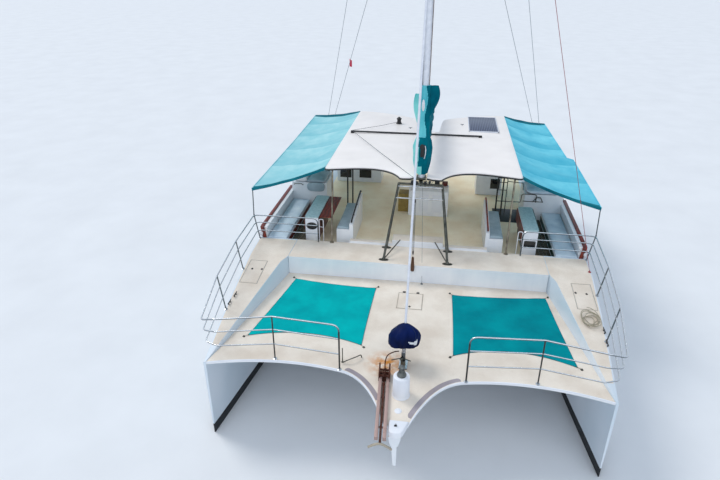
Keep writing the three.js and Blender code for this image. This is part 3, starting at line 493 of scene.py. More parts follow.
class Shape:
    """Closed forms gathered into one piece. Whatever it is given is mirrored where its side is -1."""

    def __init__(self, side=1):
        self.bm = bmesh.new()
        self.mat = 0
        self.side = side

    def both_sides(self):
        """Goes through both sides, so that what is added in the loop is made on each."""
        for side in (1, -1):
            self.side = side
            yield side
        self.side = 1

    def at(self, point):
        return Vector((point[0], point[1] * self.side, point[2]))

    def faces(self, corners):
        faces = [self.bm.faces.new(vertices) for vertices in corners]
        for face in faces:
            face.material_index = self.mat
        return faces

    def rings(self, rings):
        """A skin through rings of points, with both ends closed."""
        return self.skin([[self.at(p) for p in ring] for ring in rings])

    def skin(self, rings, closed=False):
        loops = [[self.bm.verts.new(p) for p in ring] for ring in rings]
        pairs = list(zip(loops, loops[1:])) + ([(loops[-1], loops[0])] if closed else [])
        corners = [(low[i], low[(i + 1) % len(low)], high[(i + 1) % len(low)], high[i])
                   for low, high in pairs for i in range(len(low))]
        return self.faces(corners if closed else corners + [loops[0][::-1], loops[-1]])

    def tube(self, points, radius, sides=10, closed=False):
        """A round tube along a path; radius is one number or one for each point."""
        points = [self.at(p) for p in points]
        radii = radius if isinstance(radius, list) else [radius] * len(points)
        last = len(points) - 1
        side = None
        rings = []
        for i, point in enumerate(points):
            if closed:
                way = points[(i + 1) % (last + 1)] - points[i - 1]
            else:
                way = points[min(i + 1, last)] - points[max(i - 1, 0)]
            way.normalize()
            if side is None:
                side = frame_along(way)[0]
            side = side - way * side.dot(way)
            side.normalize()
            up = way.cross(side)
            rings.append([point + (side * math.cos(a) + up * math.sin(a)) * radii[i] for a in turns(sides)])
        self.skin(rings, closed)
        return self

    def lathe(self, profile, centre, axis=(0, 0, 1), sides=24):
        """A turned form from points of radius and distance along the axis."""
        centre, axis = self.at(centre), self.at(axis).normalized()
        a, b = frame_along(axis)
        self.skin([[centre + axis * d + (a * math.cos(t) + b * math.sin(t)) * max(r, TIP) for t in turns(sides)]
                   for r, d in profile])
        return self

    def take(self, part):
        """Moves a bmesh's faces into this piece."""
        for face in part.faces:
            face.material_index = self.mat
        mesh = bpy.data.meshes.new("part")
        part.to_mesh(mesh)
        part.free()
        self.bm.from_mesh(mesh)
        bpy.data.meshes.remove(mesh)
        return self

    def box(self, corner, opposite, bevel=0.006, steps=2):
        """A box with rounded edges between two opposite corners."""
        ends = self.at(corner), self.at(opposite)
        low, high = Vector(map(min, *ends)), Vector(map(max, *ends))
        size = high - low
        part = bmesh.new()
        bmesh.ops.create_cube(part, size=1.0)
        for vert in part.verts:
            vert.co = Vector((vert.co[k] * size[k] for k in range(3))) + (low + high) / 2
        width = min(bevel, 0.45 * min(size))
        if width > TIP:
            bmesh.ops.bevel(part, geom=part.edges[:], offset=width, segments=steps, profile=0.5, affect="EDGES")
        return self.take(part)

    def block(self, x, y, half_x, half_y, low, high, bevel=0.006):
        """A box round a point of the plan."""
        return self.box((x - half_x, y - half_y, low), (x + half_x, y + half_y, high), bevel)

    def prism(self, outline, low, high, bevel=0.006, steps=2):
        """A flat outline of (x, y) raised from low to high, with rounded edges."""
        part = bmesh.new()
        base = part.faces.new([part.verts.new(self.at((x, y, low))) for x, y in outline])
        base.normal_update()
        if base.normal.z > 0:
            base.normal_flip()
        grown = bmesh.ops.extrude_face_region(part, geom=[base])
        for item in grown["geom"]:
            if isinstance(item, bmesh.types.BMVert):
                item.co.z = high
        part.normal_update()
        if bevel > 0:
            flat = [e for e in part.edges if abs(e.verts[0].co.z - e.verts[1].co.z) < 1e-7]
            bmesh.ops.bevel(part, geom=flat, offset=bevel, segments=steps, profile=0.5, affect="EDGES")
        return self.take(part)

    def sheet(self, rows, thickness=0.002):
        """A thin closed sheet over a grid of points."""
        grid = [[self.at(p) for p in row] for row in rows]
        m, n = len(grid), len(grid[0])
        high, low = [], []
        for i, row in enumerate(grid):
            halves = []
            for j, point in enumerate(row):
                along = grid[min(i + 1, m - 1)][j] - grid[max(i - 1, 0)][j]
                normal = along.cross(row[min(j + 1, n - 1)] - row[max(j - 1, 0)])
                normal = normal.normalized() if normal.length > 1e-9 else Vector((0, 0, 1))
                if normal.z < 0:
                    normal = -normal
                halves.append([self.bm.verts.new(point + normal * d / 2) for d in (thickness, -thickness)])
            high.append([top for top, _ in halves])
            low.append([bottom for _, bottom in halves])
        corners = []
        for i in range(m - 1):
            for j in range(n - 1):
                corners.append((high[i][j], high[i + 1][j], high[i + 1][j + 1], high[i][j + 1]))
                corners.append((low[i][j], low[i][j + 1], low[i + 1][j + 1], low[i + 1][j]))
        rim = [(i, 0) for i in range(m)] + [(m - 1, j) for j in range(1, n)]
        rim += [(i, n - 1) for i in range(m - 2, -1, -1)] + [(0, j) for j in range(n - 2, 0, -1)]
        corners += [(low[i][j], low[k][l], high[k][l], high[i][j]) for (i, j), (k, l) in zip(rim, rim[1:] + rim[:1])]
        self.faces(corners)
        return self

    def made(self, name, materials, sharp=SMOOTH_ANGLE):
        """The finished object."""
        bmesh.ops.recalc_face_normals(self.bm, faces=self.bm.faces)
        mesh = bpy.data.meshes.new(name)
        self.bm.to_mesh(mesh)
        self.bm.free()
        for material in materials if isinstance(materials, list) else [materials]:
            mesh.materials.append(material)
        mesh.polygons.foreach_set("use_smooth", [True] * len(mesh.polygons))
        mesh.set_sharp_from_angle(angle=math.radians(sharp))
        obj = bpy.data.objects.new(name, mesh)
        scene.collection.objects.link(obj)
        return obj

    def done(self, name, materials, slot, body="hull", replaces=None, sharp=SMOOTH_ANGLE):
        """The finished object, riding on its body."""
        obj = self.made(name, materials, sharp)
        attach(obj, body)
        if replaces:
            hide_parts(replaces)
        return obj


def dress(material, nodes, bevel=0.006, steps=2):
    """Kept solids get their material and softly rounded edges."""
    for node in nodes:
        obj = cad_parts[node]
        obj.data.materials.clear()
        obj.data.materials.append(material)
        weld = obj.modifiers.new("weld", "WELD")
        weld.merge_threshold = 0.0002
        edges = obj.modifiers.new("edges", "BEVEL")
        edges.width = bevel
        edges.segments = steps
        edges.limit_method = "ANGLE"
        edges.angle_limit = math.radians(SMOOTH_ANGLE)
        edges.harden_normals = False


SIDES = (("port", 1), ("starboard", -1))


# Floor at the waterline, and soft studio light
FLOOR_Z = -0.0022
Shape().sheet([[(x, y, FLOOR_Z) for y in (-400, 400)] for x in (-700, 200)], 0.004).made("floor", FLOOR)
world = bpy.data.worlds.new("studio")
world.use_nodes = True
background = world.node_tree.nodes["Background"].inputs
background["Color"].default_value = rgb((206, 220, 238))
background["Strength"].default_value = 0.78
scene.world = world
scene.view_settings.view_transform = "Standard"
# Columns: name, energy, spread in degrees, colour, the direction it comes from
LIGHTS = [
    ("sun", 1.35, 24, (1.0, 0.97, 0.93), (-0.35, -0.62, 0.85)),
    ("fill", 0.95, 100, (0.97, 0.98, 1.0), (0.85, 0.1, 0.42)),
]
for name, energy, spread_by, colour, source in LIGHTS:
    light = bpy.data.lights.new(name, "SUN")
    light.energy = energy
    light.angle = math.radians(spread_by)
    light.color = colour
    lamp = bpy.data.objects.new(name, light)
    lamp.rotation_mode = "QUATERNION"
    lamp.rotation_quaternion = Vector(source).to_track_quat("Z", "Y")
    scene.collection.objects.link(lamp)


# Hulls. Columns: x, inner y at the water, outer y, inner y at the deck, keel z, top z
STATIONS = [
    (0.0, 4.170, 4.215, 4.160, -0.12, 2.0),
    (-0.8, 4.060, 4.290, 4.000, -0.38, 2.1),
    (-2.3, 3.860, 4.400, 3.720, -0.52, 2.29),
    (RECESS_X, 3.640, 4.490, RISER_Y, -0.58, RAISED),
    (COCKPIT_X, 3.560, 4.530, RISER_Y, -0.60, RAISED),
    (-9.0, 3.420, 4.580, RISER_Y, -0.60, RAISED),
    (-13.2, 3.470, 4.560, RISER_Y, -0.42, RAISED),
    (STERN_X, 3.540, 4.500, RISER_Y, -0.20, RAISED),
]
SMOOTHING = (-0.45, -0.3, -0.15, 0.0, 0.15, 0.3, 0.45)
BILGE_Z = 0.1
FLARE = 0.02  # the side leans out by this above the bilge
FLARE_Z = 1.2
RUDDER_X, RUDDER_Y = -14.33, 4.015


def fair(x, column):
    """A station column at x with its corners smoothed."""
    if x > -0.46:
        return from_table(STATIONS, x, column)
    return sum(from_table(STATIONS, x + d, column) for d in SMOOTHING) / len(SMOOTHING)


def deck_top(x):
    return from_table(STATIONS, x, 5)


def deck_inner(x):
    return from_table(STATIONS, x, 3)


def chamfer(x):
    """Width of the white bevel along the side deck's inner edge, narrowing to nothing at the riser."""
    return max(0.0, min(0.09, 0.18 * (deck_top(x) - DECK), 0.35 * (x - RECESS_X)))


def hull_ring(x, top):
    """Points round a hull at x, from the keel up the outer side, over the deck and down the inner side."""
    inner, outer, keel, edge_y = fair(x, 1), fair(x, 2), fair(x, 4), deck_inner(x)
    mid = (inner + outer) / 2
    bilge = [(math.sin(a) ** 0.85, keel + (BILGE_Z - keel) * (1 - math.cos(a)))
             for a in (math.pi / 2 * k / 6 for k in range(1, 7))]
    ring = [(x, mid, keel)] + [(x, mid + (outer - FLARE - mid) * share, z) for share, z in bilge]
    for z in (0.5, 0.9, 1.3, 1.7):
        z = min(z, top - 0.08)
        ring.append((x, outer - FLARE + FLARE * min(1.0, z / FLARE_Z), z))
    edge = min(0.045, (outer - edge_y) * 0.4)
    low = DECK if x > RECESS_X + 0.001 else top
    ring += [(x, outer, top - edge), (x, outer - edge * 0.3, top - edge * 0.3), (x, outer - edge, top),
             (x, edge_y + chamfer(x) + 0.002, top), (x, edge_y, min(top - 0.001, low)),
             (x, edge_y, min(1.6, top - 0.1)), (x, inner, BILGE_Z)]
    return ring + [(x, mid + (inner - mid) * share, z) for share, z in bilge[-2::-1]]


KEEL_Y = 4.0
# Columns: x, half width with a minus
KEEL = [(-6.2, -0.02), (-6.6, -0.06), (-7.3, -0.075), (-8.6, -0.05), (-9.6, -0.012)]
SHAFT_Y = 4.01
# Hull tops from bow to stern. Columns: x of both ends, step, height, with none where it follows the deck
TOPS = [
    (0.0, COCKPIT_X, 0.12, None),
    (COCKPIT_X - 0.004, STEP_X, 0.4, SOLE),
    (STEP_X - 0.004, STEP_X - 0.25, 0.125, 1.65),
    (STEP_X - 0.254, STEP_X - 0.5, 0.125, 1.05),
    (STEP_X - 0.504, STERN_X, 0.12, 0.45),
]
# Non-skid on the side decks, round the hatch. Columns: x of both ends, distance from the inner and the outer edge,
# where a negative distance is a y instead
WALKS = [(-0.5, -2.74, 0.012, 0.05), (-2.74, -3.712, 0.012, -3.888), (-2.74, -3.712, -4.342, 0.05),
         (-3.712, -4.98, 0.012, 0.05)]
for side_name, side in SIDES:
    hull = Shape(side)
    hull.rings([hull_ring(x, deck_top(x) if top is None else top)
                for start, end, step, top in TOPS for x in spread(start, end, step)])
    hull.prism(between(KEEL, KEEL_Y, KEEL_Y), -1.05, -0.45, 0.02)
    hull.tube([(-10.8, SHAFT_Y, -0.48), (-12.15, SHAFT_Y, -0.74)], 0.016, 16)
    hull.box((-11.96, SHAFT_Y - 0.012, -0.715), (-11.89, SHAFT_Y + 0.012, -0.33), 0.005)
    hull.tube([(RUDDER_X, RUDDER_Y, 0.0), (RUDDER_X, RUDDER_Y, -0.34)], 0.045, 16)
    hull.done(f"hull_body_{side_name}", HULL_PAINT, "gelcoat", replaces=f"hull_{side_name}")
    walk = Shape(side)
    for start, end, from_inner, from_outer in WALKS:
        rows = []
        for x in spread(start, end, 0.12):
            low = deck_inner(x) + chamfer(x) + from_inner if from_inner > 0 else -from_inner
            high = fair(x, 2) - from_outer if from_outer > 0 else -from_outer
            rows.append([(x, lerp(low, high, t), deck_top(x) + 0.002) for t in (0, 0.5, 1)])
        walk.sheet(rows, 0.003)
    walk.done(f"side_deck_panels_{side_name}", NONSKID, "nonskid")

# Foredeck, with its two hollow front curves each side of the nose, and the spine and wedge below it
NOSE_X = 1.42
OUTER_CURVE = ((-0.01, 4.155), (-0.48, 2.65), (-0.17, 1.25))
INNER_CURVE = ((-0.17, 1.25), (0.0, 0.64), (1.18, 0.235))
front_edge = bezier(*OUTER_CURVE, 30) + bezier(*INNER_CURVE, 30) + [(1.18, 0.235), (1.25, 0.13), (NOSE_X, 0.095)]
half_outline = [(x, deck_inner(x) - CLEAR) for x in spread(RECESS_X + CLEAR, -0.1, 0.3)] + front_edge


def with_mirror(outline):
    return outline + [(x, -y) for x, y in reversed(outline)]


foredeck = Shape()
foredeck.prism(with_mirror(half_outline), DECK - 0.08, DECK, 0.014, 3)
foredeck.prism(with_mirror([(-0.9, 3.9), (RECESS_X + 0.001, RISER_Y - 0.001)]), 1.5, DECK - 0.01, 0.0)
spine = []
for x in spread(1.3, RECESS_X + 0.001, 0.25):
    t = (1.3 - x) / 5.3
    top_half, low_half, low = lerp(0.08, 0.3, t), lerp(0.05, 0.22, t), lerp(1.76, 1.25, min(1, t * 1.2))
    spine.append([(x, -top_half, DECK - 0.02), (x, top_half, DECK - 0.02), (x, low_half, low), (x, -low_half, low)])
foredeck.rings(spine)
# Wedge and block below the nose. Columns: z above, shift to port, and their sections, each of x above, half width
# above, x below, half width below and z below
NOSE_PARTS = [
    (DECK - 0.02, 0.0, [(NOSE_X, 0.06, NOSE_X, 0.05, 1.7), (1.18, 0.05, 1.18, 0.03, 0.93),
                        (0.9, 0.04, 0.9, 0.02, 1.5)]),
    (DECK - 0.08, 0.005, [(1.44, 0.12, 1.4, 0.07, 1.66), (1.25, 0.095, 1.25, 0.05, 1.68)]),
]
for top, shift, sections in NOSE_PARTS:
    foredeck.rings([[(x, shift - half, top), (x, shift + half, top), (low_x, low_half, low), (low_x, -low_half, low)]
                    for x, half, low_x, low_half, low in sections])
foredeck.done("foredeck_skin", DECK_PAINT, "nonskid", replaces="foredeck")
lip = Shape()
for _ in lip.both_sides():
    lip.tube([(x + 0.003, y, DECK - 0.013) for x, y in front_edge], 0.015, 10)
lip.done("foredeck_lip", MARGIN, "gelcoat")

# Grip strips along the front edge. Columns: side, hundredths of the inner curve at both ends
strips = Shape()
inner_curve = bezier(*INNER_CURVE, 100)
for side, first, last in ((-1, 4, 74), (1, 3, 93)):
    rows = []
    for k in range(first, last + 1, 2):
        (x, y), before, after = inner_curve[k], inner_curve[k - 1], inner_curve[k + 1]
        way = Vector((after[0] - before[0], after[1] - before[1])).normalized()
        across = Vector((way.y, -way.x))
        end_share = min(1.0, 0.55 + min(k - first, last - k) / 6)
        rows.append([(x + across.x * d, y + across.y * d, DECK + 0.002)
                     for d in (0.022, 0.022 + 0.05 * end_share, 0.022 + 0.1 * end_share)])
    strips.side = side
    strips.sheet(rows, 0.003)
strips.done("bow_grip_strips", GREY_STRIP, "nonskid")

# Solids that keep their own mesh. Columns: material, edge radius, steps, and the nodes, a pair where the name ends in _
DRESSED = [
    (DECK_PAINT, 0.012, 3, ["bridge_deck"]),
    (GELCOAT, 0.012, 3, ["cockpit_side_", "inboard_bench_"]),
    (GELCOAT, 0.02, 3, ["aft_locker_", "console"]),
    (HULL_PAINT, 0.004, 2, ["rudder_"]),
    (BRONZE, 0.002, 2, ["propeller_"]),
    (NONSKID, 0.006, 2, ["hatch_side_", "hatch_centre"]),
    (ALLOY, 0.002, 2, ["mast"]),
    (ALLOY, 0.01, 2, ["boom"]),
    (ALLOY, 0.003, 2, ["forestay"]),
    (STEEL, 0.004, 2, ["stem_fitting"]),
    (BLACK, 0.004, 2, ["mainsheet_track"]),
    (MAHOGANY, 0.005, 2, ["leaf_inner_"]),
    (DARK_WOOD_AND_SHADE, 0.005, 2, ["leaf_outer_starboard"]),
    (GREEN, 0.005, 2, ["leaf_outer_port"]),
]
for material, bevel, steps, nodes in DRESSED:
    for node in nodes:
        dress(material, [node + name for name, _ in SIDES] if node.endswith("_") else [node], bevel, steps)


SOFT_ANGLE = 60  # degrees; cushions, cloth and rope stay smooth up to this


def bulged(value, power):
    """A cosine or sine pushed outwards, which makes a ring squarer."""
    return math.copysign(abs(value) ** power, value)


def pad(low, high, seams):
    """A stuffed pad: flat below, crowned above, its sides pulled in between the corners."""
    crown, groove, waist, square, steps = 0.014, 0.014, 0.012, 0.4, 72
    low, high = Vector(low), Vector(high)
    mid, half = (low + high) / 2, (high - low) / 2
    rings = []
    for i in range(steps + 1):
        u = -math.cos(math.pi * i / steps)
        x = mid.x + u * half.x
        end = max(0.45, max(0.0, 1 - abs(u) ** 40) ** 0.25)
        dip = sum(groove * math.exp(-((x - seam) / groove) ** 2) for seam in seams)
        ring = []
        for a in turns(32):
            c, s = math.cos(a), math.sin(a)
            v = bulged(c, square)
            w = bulged(s, square)
            narrow = waist * (1 - u * u) * abs(v)
            y = mid.y + v * (half.y * (0.97 + 0.03 * end)) - math.copysign(narrow, v)
            z = mid.z + w * half.z * end
            if s > 0:
                z += (crown * (1 - v * v) * (1 - abs(u) ** 6) - dip) * abs(w)
                z += 0.004 * noise.noise(Vector((x * 4, y * 6, 1.7))) * abs(w)
            ring.append((x, y, z))
        rings.append(ring)
    shape = Shape()
    shape.rings(rings)
    return shape


# Seat pads. Columns: name, vinyl, fill, both corners on the port side, seams across
PADS = [
    ("bench", PALE_VINYL, 0.75, (-7.97, 3.725, 2.4703), (-5.055, 4.285, 2.54), (-5.8, -6.53, -7.25)),
    ("inboard", GREY_VINYL, 0.7, (-7.18, 1.97, 2.7603), (-5.37, 2.32, 2.83), (-5.97, -6.57)),
]
for side_name, side in SIDES:
    for name, vinyl, fill, low, high, seams in PADS:
        y0, y1 = sorted((side * low[1], side * high[1]))
        piece = pad((low[0], y0, low[2]), (high[0], y1, high[2]), seams)
        piece.done(f"{name}_pad_{side_name}", vinyl, "cushion", replaces=f"{name}_cushion_{side_name}",
                             sharp=SOFT_ANGLE)

# Tables. Columns of the top's outline: x, distance inwards
TABLE_TOP = [(-5.35, 0.06), (-5.367, 0.018), (-5.41, 0.0), (-6.94, 0.0), (-6.985, 0.018), (-7.0, 0.06)]
for side_name, side in SIDES:
    table = Shape(side)
    table.box((-6.97, 2.91, SOLE + CLEAR), (-5.38, 3.19, 3.07), 0.03, 4)
    for y in (2.847, 3.253):
        table.tube([(-5.41, y, 3.063), (-6.94, y, 3.063)], 0.0039, 12)
    table.mat = 1
    table.prism(between(TABLE_TOP, 2.85, 3.25), 3.056, 3.09, 0.008, 3)
    table.done(f"table_box_{side_name}", [MARGIN, PANEL_BLUE], "cushion", replaces=f"table_{side_name}")

# Dark panels below the tables and along the benches, their darkness partly painted shade; dark strips on the floor
# between bench and table as painted shade; and a folding frame at each table's front corner
TABLE_FRONT = -5.372
for side_name, side in SIDES:
    # Dark panels, wood to starboard and green to port, kept dark partly as painted shade of the gap under the table
    # leaves
    panels = Shape(side)
    panels.box((-7.97, 3.7113, SOLE + 0.02), (-5.045, 3.7197, 2.43), 0.003)
    panels.box((-6.93, 2.902, SOLE + 0.02), (-5.43, 2.9097, 3.02), 0.003)
    panels.done(f"wood_and_shade_panels_{side_name}", DARK_WOOD_AND_SHADE if side < 0 else GREEN, "mahogany")
    # Painted shade: dark strips on the floor between bench and table
    shade_strips = Shape(side)
    for k in range(5):
        shade_strips.box((-7.98, 3.206 + 0.1 * k, SOLE + 0.0012), (-5.07, 3.3 + 0.1 * k, SOLE + 0.016), 0.004)
    shade_strips.done(f"floor_shade_{side_name}", FLOOR_SHADE, "mahogany")
    board = Shape(side)
    board.box((-5.3797, 2.858, SOLE + 0.004), (-5.366, 3.242, 3.05), 0.006)
    board.tube(rounded([(TABLE_FRONT, y, z) for y, z in ((2.835, SOLE + 0.001), (2.835, 3.02), (2.715, 3.02),
                                                         (2.715, SOLE + 0.001))], 0.05), 0.012, 10)
    for z in (2.2, 2.78):
        board.tube([(TABLE_FRONT, 2.835, z), (TABLE_FRONT, 2.715, z)], 0.009, 8)
    board.done(f"table_front_{side_name}", MARGIN, "gelcoat")

# Roof: a waved front edge each side of the mast, and a bay in the aft edge
ROOF_AFT = [(-9.75, 0.24), (-9.765, 0.32), (-9.83, 0.37), (-10.4, 0.4), (-11.0, 0.44), (-11.3, 0.475), (-11.42, 0.52),
            (-11.54, 0.63), (-11.65, 0.8), (-11.79, 1.03), (-11.95, 1.3), (-12.08, 1.55), (-12.2, 1.82),
            (-12.33, 2.2), (-12.4, 2.5), (-12.4, 2.62), (-12.37, 2.68), (-12.3, ROOF_HALF)]
roof_front = [(-5.8, ROOF_HALF), (-5.735, 2.68)] + cubic((-5.72, 2.6), (-5.85, 1.9), (-6.18, 0.95), (-5.22, 0.55), 24)
roof_front += [(-5.205, 0.48), (-5.22, 0.3), (-5.3, 0.16), (-5.8, 0.16)]
ROOF_TOP = ROOF_Z + 0.07


def roof_crown(y):
    return 0.035 * (1 - (y / ROOF_HALF) ** 2)


roof = Shape()
roof.prism(with_mirror(ROOF_AFT + roof_front), ROOF_Z, ROOF_TOP, 0.025, 3)
for k in range(-8, 9):
    geometry = roof.bm.verts[:] + roof.bm.edges[:] + roof.bm.faces[:]
    bmesh.ops.bisect_plane(roof.bm, geom=geometry, plane_co=(0, k * 0.3, 0), plane_no=(0, 1, 0), dist=1e-5)
for vert in roof.bm.verts:
    vert.co.z += roof_crown(vert.co.y)
roof.done("roof_shell", ROOF_WHITE, "gelcoat", replaces="roof", sharp=30)
# Black rim under the roof's front edge, partly a real rim and partly painted shadow under the lip
rim = Shape()
for _ in rim.both_sides():
    rim.tube([(x + 0.006, y, ROOF_Z + 0.012 + roof_crown(y)) for x, y in roof_front[:-1]], 0.021, 10)
rim.done("roof_rim_and_shadow", BLACK, "black_plastic")

# Roof frame. Columns: x at the foot, x at the head, y of the foot, y of the head, z of the foot, bright
FRAME_Y = 2.5
FRAME_Z = ROOF_Z - 0.0263
POSTS = [
    (-5.005, -5.79, 2.4, FRAME_Y, RAISED, True),
    (-8.25, -8.3, FRAME_Y, FRAME_Y, SOLE, False),
    (-8.25, -8.3, 2.33, 2.33, SOLE, False),
    (-12.2, -12.25, FRAME_Y, FRAME_Y, SOLE, False),
]
posts = Shape()
for _ in posts.both_sides():
    for foot, head, foot_y, head_y, z, bright in POSTS:
        posts.mat = int(bright)
        posts.tube([(foot, foot_y, z + 0.012), (head, head_y, FRAME_Z)], 0.024, 16)
        posts.lathe([(0.06, 0.0), (0.06, 0.008), (0.034, 0.02), (0.03, 0.05)], (foot, foot_y, z + 0.0004), sides=20)
    posts.mat = 0
    posts.tube([(-5.77, FRAME_Y, FRAME_Z), (-12.3, FRAME_Y, FRAME_Z)], 0.025, 16)
for x in (-6.1, -8.3, -9.6):
    posts.tube([(x, -FRAME_Y, FRAME_Z), (x, FRAME_Y, FRAME_Z)], 0.025, 16)
posts.done("roof_posts", [DARK_TUBE, TAN_STEEL], "dark_steel", replaces="roof_frame")

# Mast support
FOOT_Y = 0.84
HEAD_X, HEAD_Y, HEAD_Z = -5.23, 0.58, 4.29
support = Shape()
for _ in support.both_sides():
    for foot in (-4.18, -4.9):
        support.tube([(foot, FOOT_Y, RAISED + 0.03), (HEAD_X, HEAD_Y, HEAD_Z)], 0.032, 18)
        support.prism([(foot + 0.06 * math.cos(t), FOOT_Y + 0.13 * math.sin(t)) for t in turns(28)],
                      RAISED + CLEAR, RAISED + 0.02, 0.005)
        support.lathe([(0.055, 0.0), (0.05, 0.02), (0.04, 0.045)], (foot, FOOT_Y, RAISED + 0.018), (-0.3, 0, 1), 20)
support.tube([(HEAD_X, -0.6, HEAD_Z), (HEAD_X, 0.6, HEAD_Z)], 0.03, 18)
support.tube([(HEAD_X, 0, HEAD_Z), (MAST_X, 0, 4.31)], 0.045, 18)
support.box((-5.64, -0.13, 4.36), (-5.36, 0.13, 4.4197), 0.01)
support.box((-5.56, -0.06, 4.25), (-5.44, 0.06, 4.38), 0.01)
for _ in support.both_sides():
    support.tube([(-4.22, 0.82, RAISED + 0.03), (-5.05, 0.48, 2.69)], 0.015, 12)
support.mat = 1
for x, y, z in ((-5.02, 0.64, 3.96), (-5.17, 0.585, 4.235)):
    support.tube([(x, -y, z), (x, y, z)], 0.02, 14)
support.done("mast_stand", [DARK_STEEL, BRIGHT_TUBE], "dark_steel", replaces="mast_support")

# Furled sail's bag, on the line of the forestay
STAY_FOOT = Vector((-0.56, 0, 2.43))
STAY_HEAD = Vector((MAST_X + 0.15, 0, HOUNDS))
STAY_WAY = (STAY_HEAD - STAY_FOOT).normalized()
# Columns: radius, distance up the stay
BAG = [(0.03, 0.515), (0.10, 0.49), (0.20, 0.43), (0.275, 0.36), (0.30, 0.27), (0.302, 0.18), (0.275, 0.09),
       (0.235, 0.03), (0.16, 0.045), (0.145, 0.10), (0.143, 0.21), (0.03, 0.214)]
# White patch on the bag's front: starboard end, port end, height up the stay, half height
PATCH_FROM, PATCH_TO, PATCH_D, PATCH_HALF = 0.28, 0.9, 0.16, 0.055


def on_stay(d):
    return STAY_FOOT + STAY_WAY * d


a, b = frame_along(STAY_WAY)
rings = []
for r, d, _ in smooth_path([(r, d, 0.0) for r, d in BAG], 4):
    r = max(r, 0.03)
    ring = []
    for t in turns(72):
        folds = 0.075 * math.sin(7 * t + 3 * d) + 0.05 * math.sin(11 * t + 1.3 - 9 * d)
        folds = 1 + folds * min(1, max(0, r - 0.15) * 9)
        folds += 0.04 * noise.noise(Vector((math.cos(t) * 2, math.sin(t) * 2, d * 9))) * (r > 0.16)
        way = a * math.cos(t) + b * math.sin(t)
        droop = max(0.0, -way.y) * min(1.0, max(0.0, r - 0.15) * 8)
        ring.append(on_stay(d - 0.05 * droop) + way * min(r * folds * (1 + 0.1 * droop), 0.34))
    rings.append(ring)
bag = Shape()
for face in bag.rings(rings):
    middle = face.calc_center_median()
    d = (middle - STAY_FOOT).dot(STAY_WAY)
    out = middle - on_stay(d)
    share = (out.y / max(out.length, 0.01) - PATCH_FROM) / (PATCH_TO - PATCH_FROM)
    if out.x > 0 and out.length > 0.15 and 0 < share < 1 and abs(d - PATCH_D) < PATCH_HALF * share:
        face.material_index = 1
bag.done("furled_sail_bag", [NAVY_CLOTH, SAIL_WHITE], "navy_fabric", body="furler", replaces="furler_bag",
                   sharp=SOFT_ANGLE)

# Boom cover. Columns: x, half width, height above the boom
COVER = [(-5.79, 0.110, 0.56), (-6.6, 0.190, 0.50), (-9.5, 0.180, 0.40), (-12.25, 0.110, 0.24)]
# Its outline from the foot up. Columns: shares of the half width and of the height
COVER_SIDE = [(0.8, 0.1), (1, 0.28), (0.93, 0.55), (0.66, 0.8), (0.3, 0.95)]
COVER_FOOT = BOOM_Z + 0.0803
TIE_PITCH = 1.05
rings = []
for x in spread(-5.79, -12.25, 0.07):
    w, h = from_table(COVER, x, 1), from_table(COVER, x, 2)
    tie = (0.5 + 0.5 * math.cos(2 * math.pi * (x + 5.9) / TIE_PITCH)) ** 3
    half = [(0.06, 0.0)] + [(y * w, z * h) for y, z in COVER_SIDE]
    ring = []
    for y, z in [(-y, z) for y, z in half] + [(0, h)] + half[::-1]:
        push = 1 - 0.16 * tie * (z > 0) + 0.07 * noise.noise(Vector((x * 5, y * 9, z * 9)))
        ring.append((x, y * push, COVER_FOOT + z * (1 - 0.05 * tie * (z > 0))))
    rings.append(ring)
cover = Shape()
cover.rings(rings)
cover.done("sail_cover", COVER_CLOTH, "dark_teal_fabric", body="boom", replaces="boom_cover",
                     sharp=SOFT_ANGLE)

# Collar of the cover round the front of the mast. Columns: z falling, outer radius
COLLAR = [(6.85, 0.15), (6.3, 0.14), (5.6, 0.145), (5.4, 0.22), (5.15, 0.24), (4.8, 0.215), (4.52, 0.14)]
half_circle = [-math.pi / 2 + math.pi * k / 32 for k in range(33)]
rings = []
for z in spread(6.85, 4.52, 0.03):
    radius = sum(from_table(COLLAR, z + d, 1) for d in (-0.08, -0.04, 0, 0.04, 0.08)) / 5
    ring = []
    for t in half_circle:
        fold = 0.016 * math.sin(6 * t + 2.2 * z) + 0.024 * noise.noise(Vector((2 * math.cos(t), 2 * t, z * 2.2)))
        fold += 0.012 * noise.noise(Vector((5 * math.cos(t), 5 * t, z * 6.0)))
        ring.append((MAST_X + (radius + fold) * math.cos(t), (radius + fold) * math.sin(t), z))
    rings.append(ring + [(MAST_X + 0.124 * math.cos(t), 0.091 * math.sin(t), z) for t in half_circle[::-1]])
# The collar's faces to starboard, and up high those ahead too, take lighter cyan and mint copies of the teal cloth as
# painted light
TEAL, SUNLIT_CYAN, TEAL_FLAP, SUNLIT_MINT = range(4)
collar = Shape()
for face in collar.rings(rings):
    middle = face.calc_center_median()
    if middle.z > 5.55:
        face.material_index = TEAL_FLAP if middle.y > 0.045 + 0.03 * math.sin(middle.z * 7) else SUNLIT_CYAN
    elif middle.y < -0.1 or (middle.z < 4.75 and middle.y < 0):
        face.material_index = SUNLIT_MINT
